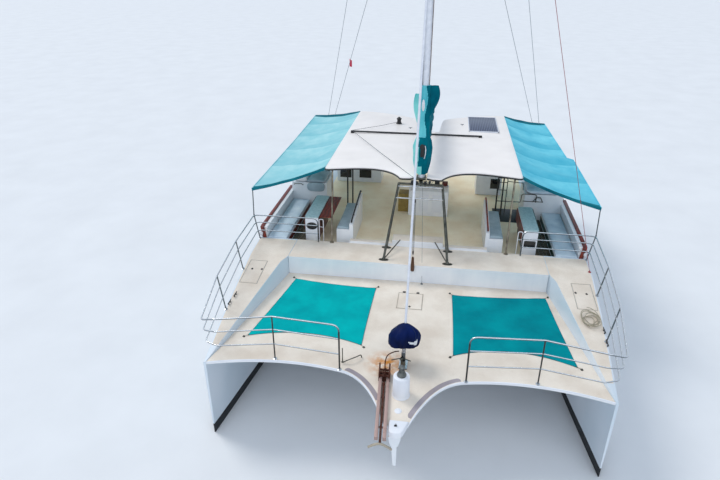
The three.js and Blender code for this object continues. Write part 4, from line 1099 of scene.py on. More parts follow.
# Flaps at the top, turned out to each side, the starboard one in mint as painted light. Columns: z from, z to, reach,
# material
FLAPS = {1: (6.2, 6.84, 0.25, TEAL), -1: (5.9, 6.62, 0.17, SUNLIT_MINT)}
for side in collar.both_sides():
    low, high, reach_by, material = FLAPS[side]
    rows = []
    for u in shares(14):
        reach = 0.05 + reach_by * math.sin(math.pi * min(1.0, u * 0.62 + 0.06)) ** 1.4
        row = []
        for v in shares(8):
            ahead = 0.03 + 0.05 * math.sin(2.6 * v + 3 * u) + 0.02 * noise.noise(Vector((u * 4, v * 3, side)))
            row.append((MAST_X + ahead, 0.1 + (reach - 0.03) * v, lerp(low, high, u) - 0.14 * v * (1 - u)))
        rows.append(row)
    collar.mat = material
    collar.sheet(rows, 0.004)
collar.done("mast_collar", [COVER_CLOTH, SUNLIT_CYAN_CLOTH, COVER_CLOTH, SUNLIT_MINT_CLOTH], "dark_teal_fabric",
                      replaces="mast_cover", sharp=SOFT_ANGLE)
# Sail and winch showing in the collar's openings, and a white strap beside the winch that paints the highlight on its
# side
tuck = Shape()
tuck.lathe([(0.0, -0.16), (0.03, -0.13), (0.045, -0.04), (0.04, 0.06), (0.02, 0.14), (0.0, 0.16)],
           (MAST_X + 0.135, -0.03, 6.36), (0.1, 0, 1), 20)
tuck.done("sail_tuck", SAIL_WHITE, "dark_teal_fabric")
winch = Shape()
winch.lathe([(0.07, 0.0), (0.078, 0.012), (0.058, 0.03), (0.054, 0.06), (0.07, 0.1), (0.078, 0.115), (0.04, 0.125)],
            (MAST_X + 0.2, 0.01, 5.3), (1, 0.1, 0.1))
winch.box((MAST_X + 0.2, -0.045, 5.04), (MAST_X + 0.275, 0.06, 5.24), 0.02)
winch.done("mast_winch", BLACK, "black_plastic")
# Painted highlight: a white strap where the winch shows a bright glint
highlight_strap = Shape()
highlight_strap.tube([(MAST_X + 0.3, 0.07, 5.36), (MAST_X + 0.31, 0.092, 5.26), (MAST_X + 0.26, 0.085, 5.12),
            (MAST_X + 0.235, 0.06, 5.0)], 0.011, 8)
highlight_strap.done("mast_strap_highlight", SAIL_WHITE, "dark_teal_fabric")

# Halyards down the mast's face. Columns: distance ahead of the mast, y, z of the foot, radius
halyards = Shape()
for material, (ahead, y, z, radius) in enumerate([(0.08, -0.084, 6.8, 0.009), (0.064, 0.092, 6.86, 0.008)]):
    halyards.mat = material
    halyards.tube([(MAST_X + ahead, y, z), (MAST_X + ahead, y, 13.2)], radius, 8)
halyards.done("mast_halyards", [DARK_ROPE, BROWN_CANVAS], "rope")

# Standing rigging. Columns: name, foot x, foot y, head z
STAYS = [("shroud", -13.6, 4.41, MASTHEAD - 0.15), ("backstay", -14.15, 4.34, HOUNDS + 0.06)]
CAP_Z = 2.7803
for name, x, y, z in STAYS:
    for side_name, side in SIDES:
        foot, head = Vector((x, y, 2.82)), Vector((MAST_X - 0.01, 0.098, z))
        way = (head - foot).normalized()
        wire = Shape(side)
        wire.tube([foot + way * 0.1, head], 0.007, 8)
        wire.lathe([(0.008, 0.0), (0.016, 0.03), (0.018, 0.06), (0.018, 0.30), (0.014, 0.34), (0.008, 0.40)],
                   foot + way * 0.05, way, 12)
        wire.block(x, y, 0.07, 0.008, CAP_Z, 2.87)
        wire.block(x, y, 0.09, 0.035, CAP_Z, 2.79, 0.004)
        wire.done(f"{name}_wire_{side_name}", WIRE, "steel", replaces=f"{name}_{side_name}")

# Bow gear
CAPSTAN_X, CAPSTAN_Y, CAPSTAN_Z = 0.39, 0.03, DECK + 0.48
pedestal = Shape()
pedestal.lathe([(0.178, CLEAR), (0.178, 0.02), (0.168, 0.03), (0.164, 0.44), (0.157, 0.468), (0.14, 0.48),
                (0.0, 0.481)], (CAPSTAN_X, CAPSTAN_Y, DECK), sides=40)
pedestal.done("capstan_pedestal", MARGIN, "gelcoat", replaces="pedestal")
drum = Shape()
drum.lathe([(0.092, 0.0006), (0.095, 0.012), (0.092, 0.03), (0.078, 0.052), (0.062, 0.08), (0.05, 0.12),
            (0.044, 0.15), (0.046, 0.175), (0.058, 0.19), (0.06, 0.205), (0.045, 0.222), (0.0, 0.228)],
           (CAPSTAN_X, CAPSTAN_Y, CAPSTAN_Z), sides=32)
for t in turns(12):
    drum.tube([(CAPSTAN_X + r * math.cos(t), CAPSTAN_Y + r * math.sin(t), CAPSTAN_Z + h)
               for r, h in ((0.078, 0.055), (0.062, 0.082), (0.05, 0.122), (0.045, 0.15), (0.047, 0.172))], 0.004, 6)
drum.done("capstan_drum", CAPSTAN_METAL, "steel", body="capstan", replaces="capstan")


def channel_y(x):
    return -0.234 - 0.066 * (1.64 - x)


anchor = Shape()
shank = [(x, channel_y(x)) for x in (0.15, 1.72)]
anchor.prism([(x, y - 0.021) for x, y in shank] + [(x, y + 0.021) for x, y in reversed(shank)],
             DECK + 0.022, DECK + 0.082, 0.006)
# Its crown. Columns: x, y from the middle, z from the deck
crown = smooth_path([(x, channel_y(1.73) + y, DECK + z) for x, y, z in (
    (1.72, -0.215, -0.095), (1.74, -0.12, -0.01), (1.733, 0.0, 0.03), (1.74, 0.12, -0.01), (1.72, 0.215, -0.095))])
anchor.mat = 1
anchor.tube(crown, [0.01] + [0.022] * (len(crown) - 2) + [0.01], 12)
anchor.mat = 0
anchor.lathe([(0.02, -0.03), (0.034, -0.02), (0.034, 0.02), (0.02, 0.03)], (0.18, channel_y(0.18), DECK + 0.052),
             (0, 1, 0), 16)
anchor.done("anchor_iron", [DEEP_RUST, GALVANISED], "rusty_steel", replaces="anchor")

# Rails. Columns: x, y, deck z, height of the top tube above the deck, lean outwards, whether a post stands there
RAIL = [
    (-0.18, 1.3, DECK, 1.105, 0.0, True),
    (-0.33, 2.73, DECK, 1.075, 0.0, True),
    (-0.11, 3.9, DECK, 1.035, 0.01, False),
    (-0.26, 4.205, deck_top(-0.26), 0.86, 0.06, False),
    (-1.7, 4.32, deck_top(-1.7), 0.9, 0.12, True),
    (-3.3, 4.43, deck_top(-3.3), 0.8, 0.12, True),
    (-4.96, 4.49, RAISED, 0.72, 0.12, True),
]
RAIL_R = 0.014
RAIL_END_Y = 2.78
SHARES = (0.36, 0.7, 1.0)


def rail_point(row, share, up=0.0):
    x, y, z, h, lean, _ = row
    return Vector((x, y + lean * share, z + h * share + up))


RAIL_TOP = rail_point(RAIL[-1], 1.0)
for side_name, side in SIDES:
    rail = Shape(side)
    for share in SHARES:
        points = [rail_point(row, share) for row in RAIL]
        points.append(Vector((RAIL_TOP.x, RAIL_END_Y, points[-1].z)))
        if share == 1.0:
            points = [rail_point(RAIL[0], 0.0, 0.004)] + points + [Vector((RAIL_TOP.x, RAIL_END_Y, RAISED + 0.004))]
        rail.tube(rounded(points, 0.16, 6), RAIL_R + 0.003 * (share == 1.0), 12)
    posted = [row for row in RAIL if row[5]]
    for row in posted[1:]:
        # Posts at the bow take the dark tube: painted reflection of dark water in their polished steel
        rail.mat = int(row[0] > -1)
        rail.tube([rail_point(row, 0.0, 0.004), rail_point(row, SHARES[0]), rail_point(row, 1.0)], RAIL_R + 0.001, 10)
    # The foremost post is dark too, as painted reflection
    rail.mat = 1
    rail.tube([rail_point(RAIL[0], 0.0, 0.005), rail_point(RAIL[0], 1.0, -0.15)], RAIL_R + 0.004, 12)
    rail.mat = 0
    for row in posted:
        rail.lathe([(0.045, 0.0), (0.045, 0.006), (0.026, 0.012), (0.022, 0.04)], rail_point(row, 0.0, 0.0015),
                   sides=16)
    rail.tube([RAIL_TOP, rail_point(RAIL[-1], 1.0, 0.03)], 0.019, 12)
    rail.done(f"guard_rail_{side_name}", [STEEL, DARK_TUBE], "steel", replaces=f"rail_{side_name}")


def raised(points, up):
    return [Vector(p) + Vector((0, 0, up)) for p in points]


# Awnings and their frames. Columns: share from front to back, outer y
AWNING_ROWS = {
    "port": [(1.0, 4.31), (0.4885, 4.43), (0.4727, 4.6), (0.0, 4.6)],
    "starboard": [(1.0, 4.65), (0.54, 4.6), (0.0, 4.6)],
}
AWNING_RIBS = {"port": (0.0, 0.23, 0.48, 0.64, 0.8, 1.0), "starboard": (0.0, 0.21, 0.43, 0.63, 0.82, 1.0)}
AWNING_OUT = (-4.95, -13.2)
AWNING_IN = (-5.73, -12.39)
AWNING_EDGE_Z = 4.015
AWNING_TUBE_Z = 3.994
AWNING_POST_X = -12.7
AWNING_SAG = 0.1  # of the cloth between two ribs
HEM_R = 0.014
for side_name, side in SIDES:
    ribs, outline = AWNING_RIBS[side_name], AWNING_ROWS[side_name]
    rows = []
    for u in shares(104):
        before, after = [(p, q) for p, q in zip(ribs, ribs[1:]) if p <= u <= q][0]
        across = (u - before) / (after - before)
        sag = AWNING_SAG * (4 * across * (1 - across)) ** 0.8
        row = []
        for t in shares(24):
            x = lerp(lerp(*AWNING_IN, u), lerp(*AWNING_OUT, u), t)
            y = lerp(ROOF_HALF + 0.004, from_table(outline, u, 1), t)
            z = lerp(ROOF_Z + 0.06, AWNING_EDGE_Z, t) - 0.05 * math.sin(math.pi * t)
            z -= sag * math.sin(math.pi * t) ** 0.7
            z += 0.012 * noise.noise(Vector((x * 1.5, y * 2.5, side))) * math.sin(math.pi * t) ** 0.5
            row.append((x, y, z))
        rows.append(row)
    sheet = Shape(side).sheet(rows).done(f"side_awning_{side_name}", AWNING_CLOTHS[side_name], "turquoise_fabric",
                                         replaces=f"awning_{side_name}", sharp=SOFT_ANGLE)
    # Hems darkened partly as painted shade along the awning's front and back edges
    hem = Shape(side)
    hem.mat = 1
    hem.tube(raised([row[-1] for row in rows], 0.004), HEM_R, 8)
    hem.mat = 0
    for chain in (rows[0], rows[-1]):
        hem.tube(raised(chain, 0.004), HEM_R, 8)
    for shade_band in (rows[:3], rows[-3:]):
        hem.sheet([raised(row, 0.005) for row in shade_band], 0.003)
    # A dark band hanging from the front edge: painted shade under the hem
    hem.sheet([[Vector(p) + Vector((0.012, 0, -drop)) for p in rows[0]] for drop in (-0.002, 0.03, 0.062)], 0.003)
    hem_piece = hem.done(f"awning_hem_shade_{side_name}", [AWNING_HEM_SHADE, AWNING_CLOTHS[side_name]], "dark_teal_fabric")
    tubes = Shape(side)
    edge = [(RAIL_TOP.x, 4.585, AWNING_TUBE_Z)]
    edge += [(lerp(*AWNING_OUT, u), y - 0.015, AWNING_TUBE_Z) for u, y in reversed(outline[1:-1])]
    edge.append((AWNING_POST_X, outline[0][1] - 0.01, AWNING_TUBE_Z))
    tubes.tube(edge, 0.015, 12)
    tubes.tube([rail_point(RAIL[-1], 1.0, 0.032), edge[0]], 0.014, 12)
    tubes.tube([(AWNING_POST_X, 4.42, 2.784), edge[-1]], 0.014, 12)
    tubes.done(f"awning_tubes_{side_name}", STEEL, "steel", replaces=f"awning_frame_{side_name}")


def border(x0, y0, x1, y1, width):
    """Four strips inside a rectangle, each from its low to its high corner."""
    return (((x0, y0), (x0 + width, y1)), ((x1 - width, y0), (x1, y1)),
            ((x0, y0), (x1, y0 + width)), ((x0, y1 - width), (x1, y1)))


# Solar panel
SOLAR_BOX = (-11.94, 1.35, -9.98, 2.35)
x0, y0, x1, y1 = SOLAR_BOX
z = ROOF_TOP + CLEAR + roof_crown(1.85)
Shape().box((x0 + 0.01, y0 + 0.01, z), (x1 - 0.01, y1 - 0.01, z + 0.028), 0.003).done(
    "solar_glass", SOLAR, "solar_glass", replaces="solar_panel")
panel_frame = Shape()
for low, high in border(*SOLAR_BOX, 0.03):
    panel_frame.box((*low, z - 0.004), (*high, z + 0.034), 0.003)
panel_frame.done("solar_frame", ALLOY, "alloy")

# Sun covers on the foredeck, laced out at their corners.
# Columns: the corners back inner, front inner, front outer, back outer, and the hollow of the front edge
SUN_COVERS = {
    "port": [(-3.47, 1.0), (-0.99, 1.04), (-0.97, 3.62), (-3.66, 3.33), 0.33],
    "starboard": [(-3.52, 0.95), (-1.06, 0.97), (-1.04, 3.58), (-3.69, 3.13), 0.27],
}
# Ways in which the ties pull, by row and place in the row
TIES = {(0, 0): (-0.7, -0.5, 0), (-1, 0): (0.6, -0.6, 0), (-1, -1): (0.5, 0.75, 0), (0, -1): (-0.6, 0.7, 0)}
EYELET_BACK, TIE_REACH = 0.02, 0.09
for side_name, side in SIDES:
    back_in, front_in, front_out, back_out = [Vector((x, y, 0)) for x, y in SUN_COVERS[side_name][:4]]
    hollow = SUN_COVERS[side_name][4]
    rows = []
    for u in shares(64):
        row = []
        for v in shares(64):
            p = (back_in * (1 - u) + front_in * u) * (1 - v) + (back_out * (1 - u) + front_out * u) * v
            p.x -= hollow * 4 * v * (1 - v) * u ** 4
            p.x += 0.06 * 4 * v * (1 - v) * (1 - u) ** 5
            p.y += 0.012 * 4 * u * (1 - u) * (0.5 - v) * 2
            rim_share = min(1.0, 8 * min(u, 1 - u, v, 1 - v))
            ripple = noise.noise(Vector((p.x * 1.3, p.y * 2.6, 4.0 * side)))
            ripple += 0.5 * noise.noise(Vector((p.x * 4.0, p.y * 1.2, 9.0 * side)))
            nearest = min((Vector((u, v)) - Vector(c)).length for c in ((0, 0), (0, 1), (1, 0), (1, 1)))
            pull = math.exp(-14 * nearest ** 2) * math.sin(26 * math.atan2(v - 0.5, u - 0.5))
            row.append((p.x, p.y, DECK + max(0.008 + 0.006 * ripple * rim_share + 0.004 * pull, 0.0035)))
        rows.append(row)
    sheet = Shape(side).sheet(rows).done(f"sun_sheet_{side_name}", SUN_CLOTHS[side_name], "teal_fabric",
                                         replaces=f"sun_cover_{side_name}", sharp=SOFT_ANGLE)
    # Hem tubes in the dark teal, partly painted shade along the cover's edges
    hem = Shape(side)
    for chain in (rows[0], rows[-1], [row[0] for row in rows], [row[-1] for row in rows]):
        hem.tube(raised(chain, 0.002), 0.004, 6)
    hem_piece = hem.done(f"sun_hem_{side_name}", AWNING_HEM_SHADE, "teal_fabric")
    ties = Shape(side)
    for (i, j), pull in TIES.items():
        start, way = Vector(rows[i][j]) + Vector((0, 0, 0.004)), Vector(pull).normalized()
        ties.lathe([(0.008, 0.0), (0.014, 0.001), (0.014, 0.004), (0.008, 0.005)], start - way * EYELET_BACK, sides=14)
        end = start + way * TIE_REACH
        end.z = DECK + 0.02
        ties.tube([start - way * EYELET_BACK, start + way * 0.03, end], 0.004, 6)
        ties.lathe([(0.03, -0.0195), (0.03, -0.014), (0.012, -0.01), (0.01, 0.004), (0.014, 0.01), (0.004, 0.014)],
                   end, sides=16)
    ties.done(f"sun_ties_{side_name}", DARK_STEEL, "steel")

# Mooring rope coiled on the port side deck
COIL_X, COIL_Y, ROPE_D = -2.35, 4.09, 0.016
TURNS, TURN_STEPS = 5.5, 28
coil_slope = (deck_top(COIL_X + 0.28) - deck_top(COIL_X - 0.28)) / 0.56
points = []
for k in range(int(TURNS * TURN_STEPS) + 1):
    t = k / TURN_STEPS
    angle = 2 * math.pi * t
    radius = 0.13 + 0.024 * t + 0.05 * math.sin(2.3 * t + 0.8) + 0.02 * math.sin(3 * angle + t)
    x = radius * 1.1 * math.cos(angle) + 0.05 * math.sin(1.7 * t)
    y = radius * 0.86 * math.sin(angle) + 0.03 * math.sin(2.9 * t + 1.0)
    points.append((COIL_X + x, COIL_Y + y, deck_top(COIL_X) + 0.0105 + coil_slope * x + 0.0165 * t))
length = sum((Vector(p) - Vector(q)).length for p, q in zip(points, points[1:]))
rope_piece = Shape().tube(points, ROPE_D / 2).done("mooring_rope_coil", ROPE, "rope", replaces="mooring_rope",
                                                   sharp=SOFT_ANGLE)
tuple(points[0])


def hoop(centre, a, b, count):
    """Points round an oval, from its centre and its half axes."""
    return [Vector(centre) + Vector((a[0] * math.cos(t) + b[0] * math.sin(t), a[1] * math.cos(t) + b[1] * math.sin(t),
                                     a[2] * math.cos(t) + b[2] * math.sin(t))) for t in turns(count)]


# Wheel
WHEEL = Vector((-8.62, 0.175, 2.95))
wheel = Shape()
wheel.tube(hoop(WHEEL, (0, 0.33, 0), (0, 0, 0.33), 64), 0.015, 12, closed=True)
for low, high in zip(hoop(WHEEL, (0, 0.03, 0), (0, 0, 0.03), 6), hoop(WHEEL, (0, 0.325, 0), (0, 0, 0.325), 6)):
    wheel.tube([low, high], 0.007, 10)
wheel.lathe([(0.02, -0.02), (0.038, -0.016), (0.04, 0.012), (0.03, 0.0195)], WHEEL, (1, 0, 0))
wheel.done("wheel", STEEL, "steel", body="helm_wheel", replaces="helm_wheel")

# Anchor channels with the seized chain stopper at their aft end.
# Columns: material, x of both ends, distance and half width across, z of both faces from the deck, bevel and its steps
CHANNEL_PARTS = [
    (0, -0.02, 1.64, -0.076, 0.033, CLEAR, 0.088, 0.012, 3), (0, -0.02, 1.64, 0.076, 0.033, CLEAR, 0.088, 0.012, 3),
    (0, 1.3, 1.34, 0.0, 0.1, CLEAR, 0.018, 0.003, 2), (0, 0.5, 0.54, 0.0, 0.1, CLEAR, 0.018, 0.003, 2),
    (1, -0.21, 0.06, 0.0, 0.122, CLEAR, 0.05, 0.01, 2),
    (1, -0.2, 0.05, -0.102, 0.017, 0.04, 0.19, 0.008, 2), (1, -0.2, 0.05, 0.102, 0.017, 0.04, 0.19, 0.008, 2),
]
channels = Shape()
for material, x0, x1, across, half, low, high, bevel, steps in CHANNEL_PARTS:
    y0, y1 = channel_y(x0) + across, channel_y(x1) + across
    channels.mat = material
    channels.prism([(x0, y0 - half), (x1, y1 - half), (x1, y1 + half), (x0, y0 + half)], DECK + low, DECK + high,
                   bevel, steps)
for across in (-0.102, 0.102):
    channels.tube([(-0.19, channel_y(-0.19) + across, DECK + 0.14), (-0.23, channel_y(-0.2) + across, DECK + 0.22),
                   (-0.21, channel_y(-0.2) + across, DECK + 0.245)], 0.016)
for x in (-0.15, -0.06, 0.03):
    channels.tube([(x, channel_y(x) - 0.118, DECK + 0.13), (x, channel_y(x) + 0.118, DECK + 0.13)], 0.024, 12)
for k in range(9):
    x = -0.16 + 0.03 * k
    lying = k % 2
    link = hoop((x, channel_y(x) + 0.02 * math.sin(k * 2.1), DECK + 0.165), (0.034, 0, 0),
                (0, 0.022, 0) if lying else (0, 0.004, 0.022), 12)
    channels.tube(link, 0.007, 8, closed=True)
channels.done("chain_channels", [PINK_METAL, DEEP_RUST], "rusty_steel", replaces="anchor_channels")
pipe = Shape()
pipe.tube(smooth_path([(-0.22, -0.35, DECK + 0.05), (-0.42, -0.37, 2.12), (-0.52, -0.33, 2.22), (-0.55, -0.2, 2.3),
                       (-0.55, -0.1, 2.33)]), 0.012)
pipe.done("rusty_pipe", DEEP_RUST, "rusty_steel")
lever = Shape()
lever.tube(smooth_path([(-0.40, -0.24, 2.2), (-0.42, -0.1, 2.235), (-0.43, 0.03, 2.235), (-0.42, 0.16, 2.2)]), 0.012)
lever.lathe([(0.03, -0.03), (0.045, -0.02), (0.045, 0.02), (0.03, 0.03)], (-0.42, -0.03, 2.235), (0, 1, 0), 20)
lever.box((-0.46, -0.05, 2.08), (-0.39, 0.05, 2.2), 0.012)
lever.done("furler_lever", DARK_STEEL, "steel")

# Nose cap, round plate and small fittings on the foredeck
cap = Shape()
cap.prism([(1.12, -0.12), (1.2, -0.128), (1.36, -0.12), (1.43, -0.1), (1.455, -0.05), (1.46, 0.0), (1.455, 0.06),
           (1.43, 0.12), (1.36, 0.16), (1.2, 0.215), (1.12, 0.24)], DECK - 0.1, DECK + 0.035, 0.025, 4)
cap.lathe([(0.07, 0.0), (0.07, 0.006), (0.06, 0.012), (0.0, 0.013)], (0.85, 0.015, DECK + CLEAR), sides=28)
cap.done("nose_cap", MARGIN, "gelcoat")
bits = Shape()
bits.box((1.25, -0.02, DECK + 0.034), (1.29, 0.03, DECK + 0.046), 0.005)
bits.tube([(1.25, 0.01, DECK + 0.045), (1.26, 0.01, DECK + 0.075), (1.3, 0.03, DECK + 0.075)], 0.006, 8)
for y in (-0.21, 0.14):
    bits.box((-3.47, y - 0.035, DECK + CLEAR), (-3.415, y + 0.035, DECK + 0.014), 0.004)
bits.done("foredeck_fittings", BLACK, "black_plastic")
EYE_X, EYE_Y = -3.92, 0.21
eye = Shape()
eye.lathe([(0.035, CLEAR), (0.035, 0.006), (0.015, 0.012), (0.0, 0.013)], (EYE_X, EYE_Y, DECK), sides=20)
eye.tube(hoop((EYE_X, EYE_Y, DECK + 0.032), (0.028, 0, 0), (0, 0, 0.028), 24), 0.006, 8, closed=True)
eye.tube([(EYE_X, EYE_Y, DECK + 0.06), (-5.22, 0.06, 4.3)], 0.004, 6)
eye.done("deck_eye_line", WIRE, "steel")

# Deck hatches. Columns: latches' name, body, places of the latches, outline of the lid
HATCHES = [
    ("hatch_centre_latch", "hatch_centre", [(-2.77, -0.03)], (-3.385, -0.33, -2.69, 0.26)),
    ("hatch_port_latches", "hatch_side_port", [(-3.335, 3.935), (-3.32, 4.19)], (-3.7, 3.9, -2.75, 4.33)),
    ("hatch_starboard_latches", "hatch_side_starboard", [(-3.335, -3.935), (-3.32, -4.19)], (-3.7, -4.33, -2.75, -3.9)),
]


def deck_at(x, y):
    return DECK if abs(y) < 1 else deck_top(x)


seams = Shape()
for name, body, places, (x0, y0, x1, y1) in HATCHES:
    latch = Shape()
    for x, y in places:
        z = deck_at(x, y) + 0.0083
        latch.lathe([(0.03, -0.002), (0.03, 0.004), (0.022, 0.009), (0.0, 0.01)], (x, y, z), sides=18)
        latch.block(x, y, 0.03, 0.008, z + 0.006, z + 0.016, 0.003)
    latch.done(name, BLACK, "black_plastic", body=body)
    for low, high in border(x0 - 0.02, y0 - 0.02, x1 + 0.02, y1 + 0.02, 0.014):
        seams.sheet([[(x, y, deck_at(x, y0) + 0.0048) for y in (low[1], high[1])]
                     for x in spread(low[0], high[0], 0.2)])
seams.done("hatch_seams", SEALANT, "black_plastic")

# Side deck cleats, and the grab by the starboard rail
cleats = Shape()
for x, y in ((-2.2, -4.26), (-1.9, -4.3), (-2.0, 4.33), (-1.6, 4.31)):
    z = deck_top(x) + 0.004
    for d in (-0.05, 0.05):
        cleats.lathe([(0.016, 0.0), (0.012, 0.03), (0.012, 0.045)], (x + d, y, z), sides=12)
    cleats.tube([(x + d, y, z + up) for d, up in ((-0.12, 0.06), (-0.06, 0.05), (0.06, 0.05), (0.12, 0.06))],
                [0.007, 0.013, 0.013, 0.007])
cleats.done("deck_cleats", BLACK, "black_plastic")
grab = Shape()
grab.tube([(-0.43, -1.28, DECK + 0.003), (-0.43, -1.28, 2.36)], 0.011)
grab.tube(smooth_path([(-0.36, -1.28, 2.04), (-0.42, -1.12, 2.1), (-0.52, -1.0, 2.1), (-0.62, -0.92, 2.08),
                       (-0.64, -0.9, 2.003)]), 0.011)
grab.lathe([(0.03, CLEAR), (0.03, 0.006), (0.014, 0.014)], (-0.43, -1.28, DECK), sides=16)
grab.done("bow_grab", DARK_STEEL, "steel")

# Wooden cap rails on the bulwarks. Columns: front x, back x, inner y, outer y, bottom, top
CAP_PARTS = [(-5.12, -8.395, 4.375, 4.488, 2.8253, 2.838), (-8.42, -13.0, 4.345, 4.455, CAP_Z, 2.7885)]
# Its front end, down to the deck. Columns: x and z on the bulwark, thickness forward and up, inner y
CAP_END = [(-5.2, 2.8253, 0.0, 0.0131, 4.376), (-5.09, 2.8253, 0.003, 0.0131, 4.372), (-5.05, 2.815, 0.01, 0.01, 4.368),
           (-5.04, 2.79, 0.013, 0.005, 4.36), (-5.037, 2.65, 0.014, 0.0, 4.335), (-5.035, 2.503, 0.014, 0.0, 4.31)]
CAP_WIDTH = 0.112
for side_name, side in SIDES:
    cap = Shape(side)
    for x0, x1, inner, outer, z0, z1 in CAP_PARTS:
        cap.prism(between([(x1, 0), (x0 - 0.03, 0), (x0, 0.03)], inner, outer), z0, z1, 0.004)
    cap.rings([[(x, y, z), (x, y + CAP_WIDTH, z), (x + dx, y + CAP_WIDTH, z + dz), (x + dx, y, z + dz)]
               for x, z, dx, dz, y in CAP_END])
    cap.done(f"cap_rail_{side_name}", MAHOGANY, "mahogany")
    knob = Shape(side)
    knob.lathe([(0.0, -0.09), (0.04, -0.08), (0.06, -0.05), (0.068, 0.0), (0.064, 0.04), (0.04, 0.07), (0.0, 0.08)],
               (-5.055, 4.475, 2.62), (0.3, 0, 1))
    knob.done(f"bulwark_end_{side_name}", MARGIN, "gelcoat")


def cushion(low, high, crown, lumps, seed, steps=26):
    """A loose cushion: a soft box with crowned top, full sides and a slumped outline."""
    low, high = Vector(low), Vector(high)
    mid, half = (low + high) / 2, (high - low) / 2
    rings = []
    for i in range(steps + 1):
        u = -math.cos(math.pi * i / steps)
        end = max(0.0, 1 - abs(u) ** 5) ** 0.35
        ring = []
        for a in turns(36):
            v = bulged(math.cos(a), 0.5)
            w = bulged(math.sin(a), 0.6)
            place = Vector((mid.x + u * half.x, mid.y + v * half.y * (0.8 + 0.2 * end),
                            mid.z + w * half.z * (0.2 + 0.8 * end)))
            lump = lumps * noise.noise(Vector((place.x * 4 + seed, place.y * 4, place.z * 5)))
            place += Vector((lump, lump * v, (lump + crown * (1 - v * v) * (1 - u * u)) * max(0.0, w)))
            place.z = max(place.z, low.z)
            ring.append(place)
        rings.append(ring)
    shape = Shape()
    shape.rings(rings)
    return shape


# Loose cushions on the lockers behind the benches, and a cloth down the starboard one's front.
# Columns: name, material, fill, both corners, crown, lumps, seed
LOCKER_Z = 3.1205
CUSHIONS = [
    ("pad_starboard", GREY_VINYL, 0.6, (-9.05, -3.84, LOCKER_Z), (-7.97, -3.2, LOCKER_Z + 0.12), 0.05, 0.03, 2.0),
    ("pillow_starboard", SAIL_WHITE, 0.5, (-8.75, -4.27, LOCKER_Z), (-7.98, -3.8, LOCKER_Z + 0.2), 0.06, 0.05, 7.0),
    ("apron_starboard", GREY_VINYL, 0.5, (-7.992, -3.8, 2.83), (-7.93, -3.22, 3.13), 0.0, 0.012, 5.0),
    ("pad_port", PALE_VINYL, 0.6, (-9.05, 3.2, LOCKER_Z), (-7.98, 4.25, LOCKER_Z + 0.13), 0.05, 0.03, 11.0),
]
for name, material, fill, low, high, crown, lumps, seed in CUSHIONS:
    piece = cushion(low, high, crown, lumps, seed)
    piece.done(f"locker_{name}", material, "cushion", sharp=SOFT_ANGLE)
# Bent handles on their fronts. Columns: x at the ends, x of the grip, y and z of the path, bend, radius, sides
HANDLES = [
    (-8.0, -7.95, [(3.05, 2.85), (3.05, 3.13), (3.5, 3.13), (3.5, 2.85)], 0.08, 0.013, 12),
    (-8.0, -7.92, [(3.4, 2.86), (3.52, 3.05), (3.62, 3.05), (3.72, 2.86)], 0.06, 0.013, 12),
    (-7.985, -7.985, [(3.1, 2.88), (3.7, 2.88)], 0.0, 0.012, 10),
    (-7.99, -7.93, [(-4.24, 3.02), (-4.2, 3.08), (-3.98, 3.08), (-3.94, 3.02)], 0.04, 0.011, 10),
]
handles = Shape()
for end_x, grip_x, path, bend, radius, sides in HANDLES:
    points = [(end_x if k in (0, len(path) - 1) else grip_x, y, z) for k, (y, z) in enumerate(path)]
    handles.tube(rounded(points, bend), radius, sides)
handles.done("locker_handles", DARK_STEEL, "steel")

# Windows, and portholes with their trim
PORT_X, PORT_TRIM_X = -5.3657, -5.36
OVAL = [(0.145 * math.cos(t), 0.1 * math.sin(t)) for t in turns(36)]
EYEBROW = [(0.145, 0.06), (0.135, 0.085), (0.11, 0.095), (-0.11, 0.095), (-0.135, 0.085), (-0.145, 0.06)]
EYEBROW += [(a, -b) for a, b in reversed(EYEBROW)]
glass = Shape()
for x, y0, y1, z0, z1 in ((-10.6, -3.18, -2.76, 2.4, 2.72), (-10.6, -2.46, -2.02, 2.42, 2.74),
                          (-9.95, 2.24, 2.56, 2.5, 2.86)):
    glass.box((x + 0.0006, y0, z0), (x + 0.012, y1, z1), 0.005, 3)
for y, z, form in ((-3.05, 2.8, OVAL), (3.05, 2.66, EYEBROW)):
    glass.rings([[(PORT_X + d, y + a * k, z + b * k) for a, b in form]
                 for d, k in ((0.0, 1.0), (0.006, 1.0), (0.009, 0.9))])
glass.done("dark_windows", GLASS, "solar_glass")
trim = Shape()
trim.tube([(PORT_TRIM_X, -3.05 + a * 1.06, 2.8 + b * 1.06) for a, b in OVAL], 0.007, 8, closed=True)
trim.tube(rounded([(PORT_TRIM_X, y, z) for y, z in ((2.9, 2.56), (3.2, 2.56), (3.2, 2.76), (2.9, 2.76), (2.9, 2.56),
                                                    (3.0, 2.56))], 0.03), 0.006, 8)
trim.done("porthole_trim", DARK_STEEL, "steel")

# Companionway on the sole to port, with its ladder and guard behind the posts
Shape().prism([(-8.75, 2.27), (-7.7, 2.27), (-7.7, 3.13), (-8.75, 3.13)], SOLE + 0.0006, SOLE + 0.014, 0.004).done(
    "companion_hatch", BLACK, "black_plastic")
GUARD_X = -8.28
guard = Shape()
for z in (3.5, 3.36, 3.1):
    guard.tube([(GUARD_X, 2.33, z), (GUARD_X, 2.62, z)], 0.011)
guard.tube(rounded([(GUARD_X, 2.62, SOLE + 0.0006), (GUARD_X, 2.62, 3.5), (GUARD_X, 2.33, 3.5)], 0.06), 0.014, 12)
guard.tube([(GUARD_X, 2.62, 3.4), (GUARD_X, 3.1, 3.36), (GUARD_X, 3.12, 3.13)], 0.012)
guard.tube([(GUARD_X, 2.33, 2.72), (GUARD_X, 3.08, 2.72)], 0.012)
guard.done("companion_guard", DARK_TUBE, "dark_steel")

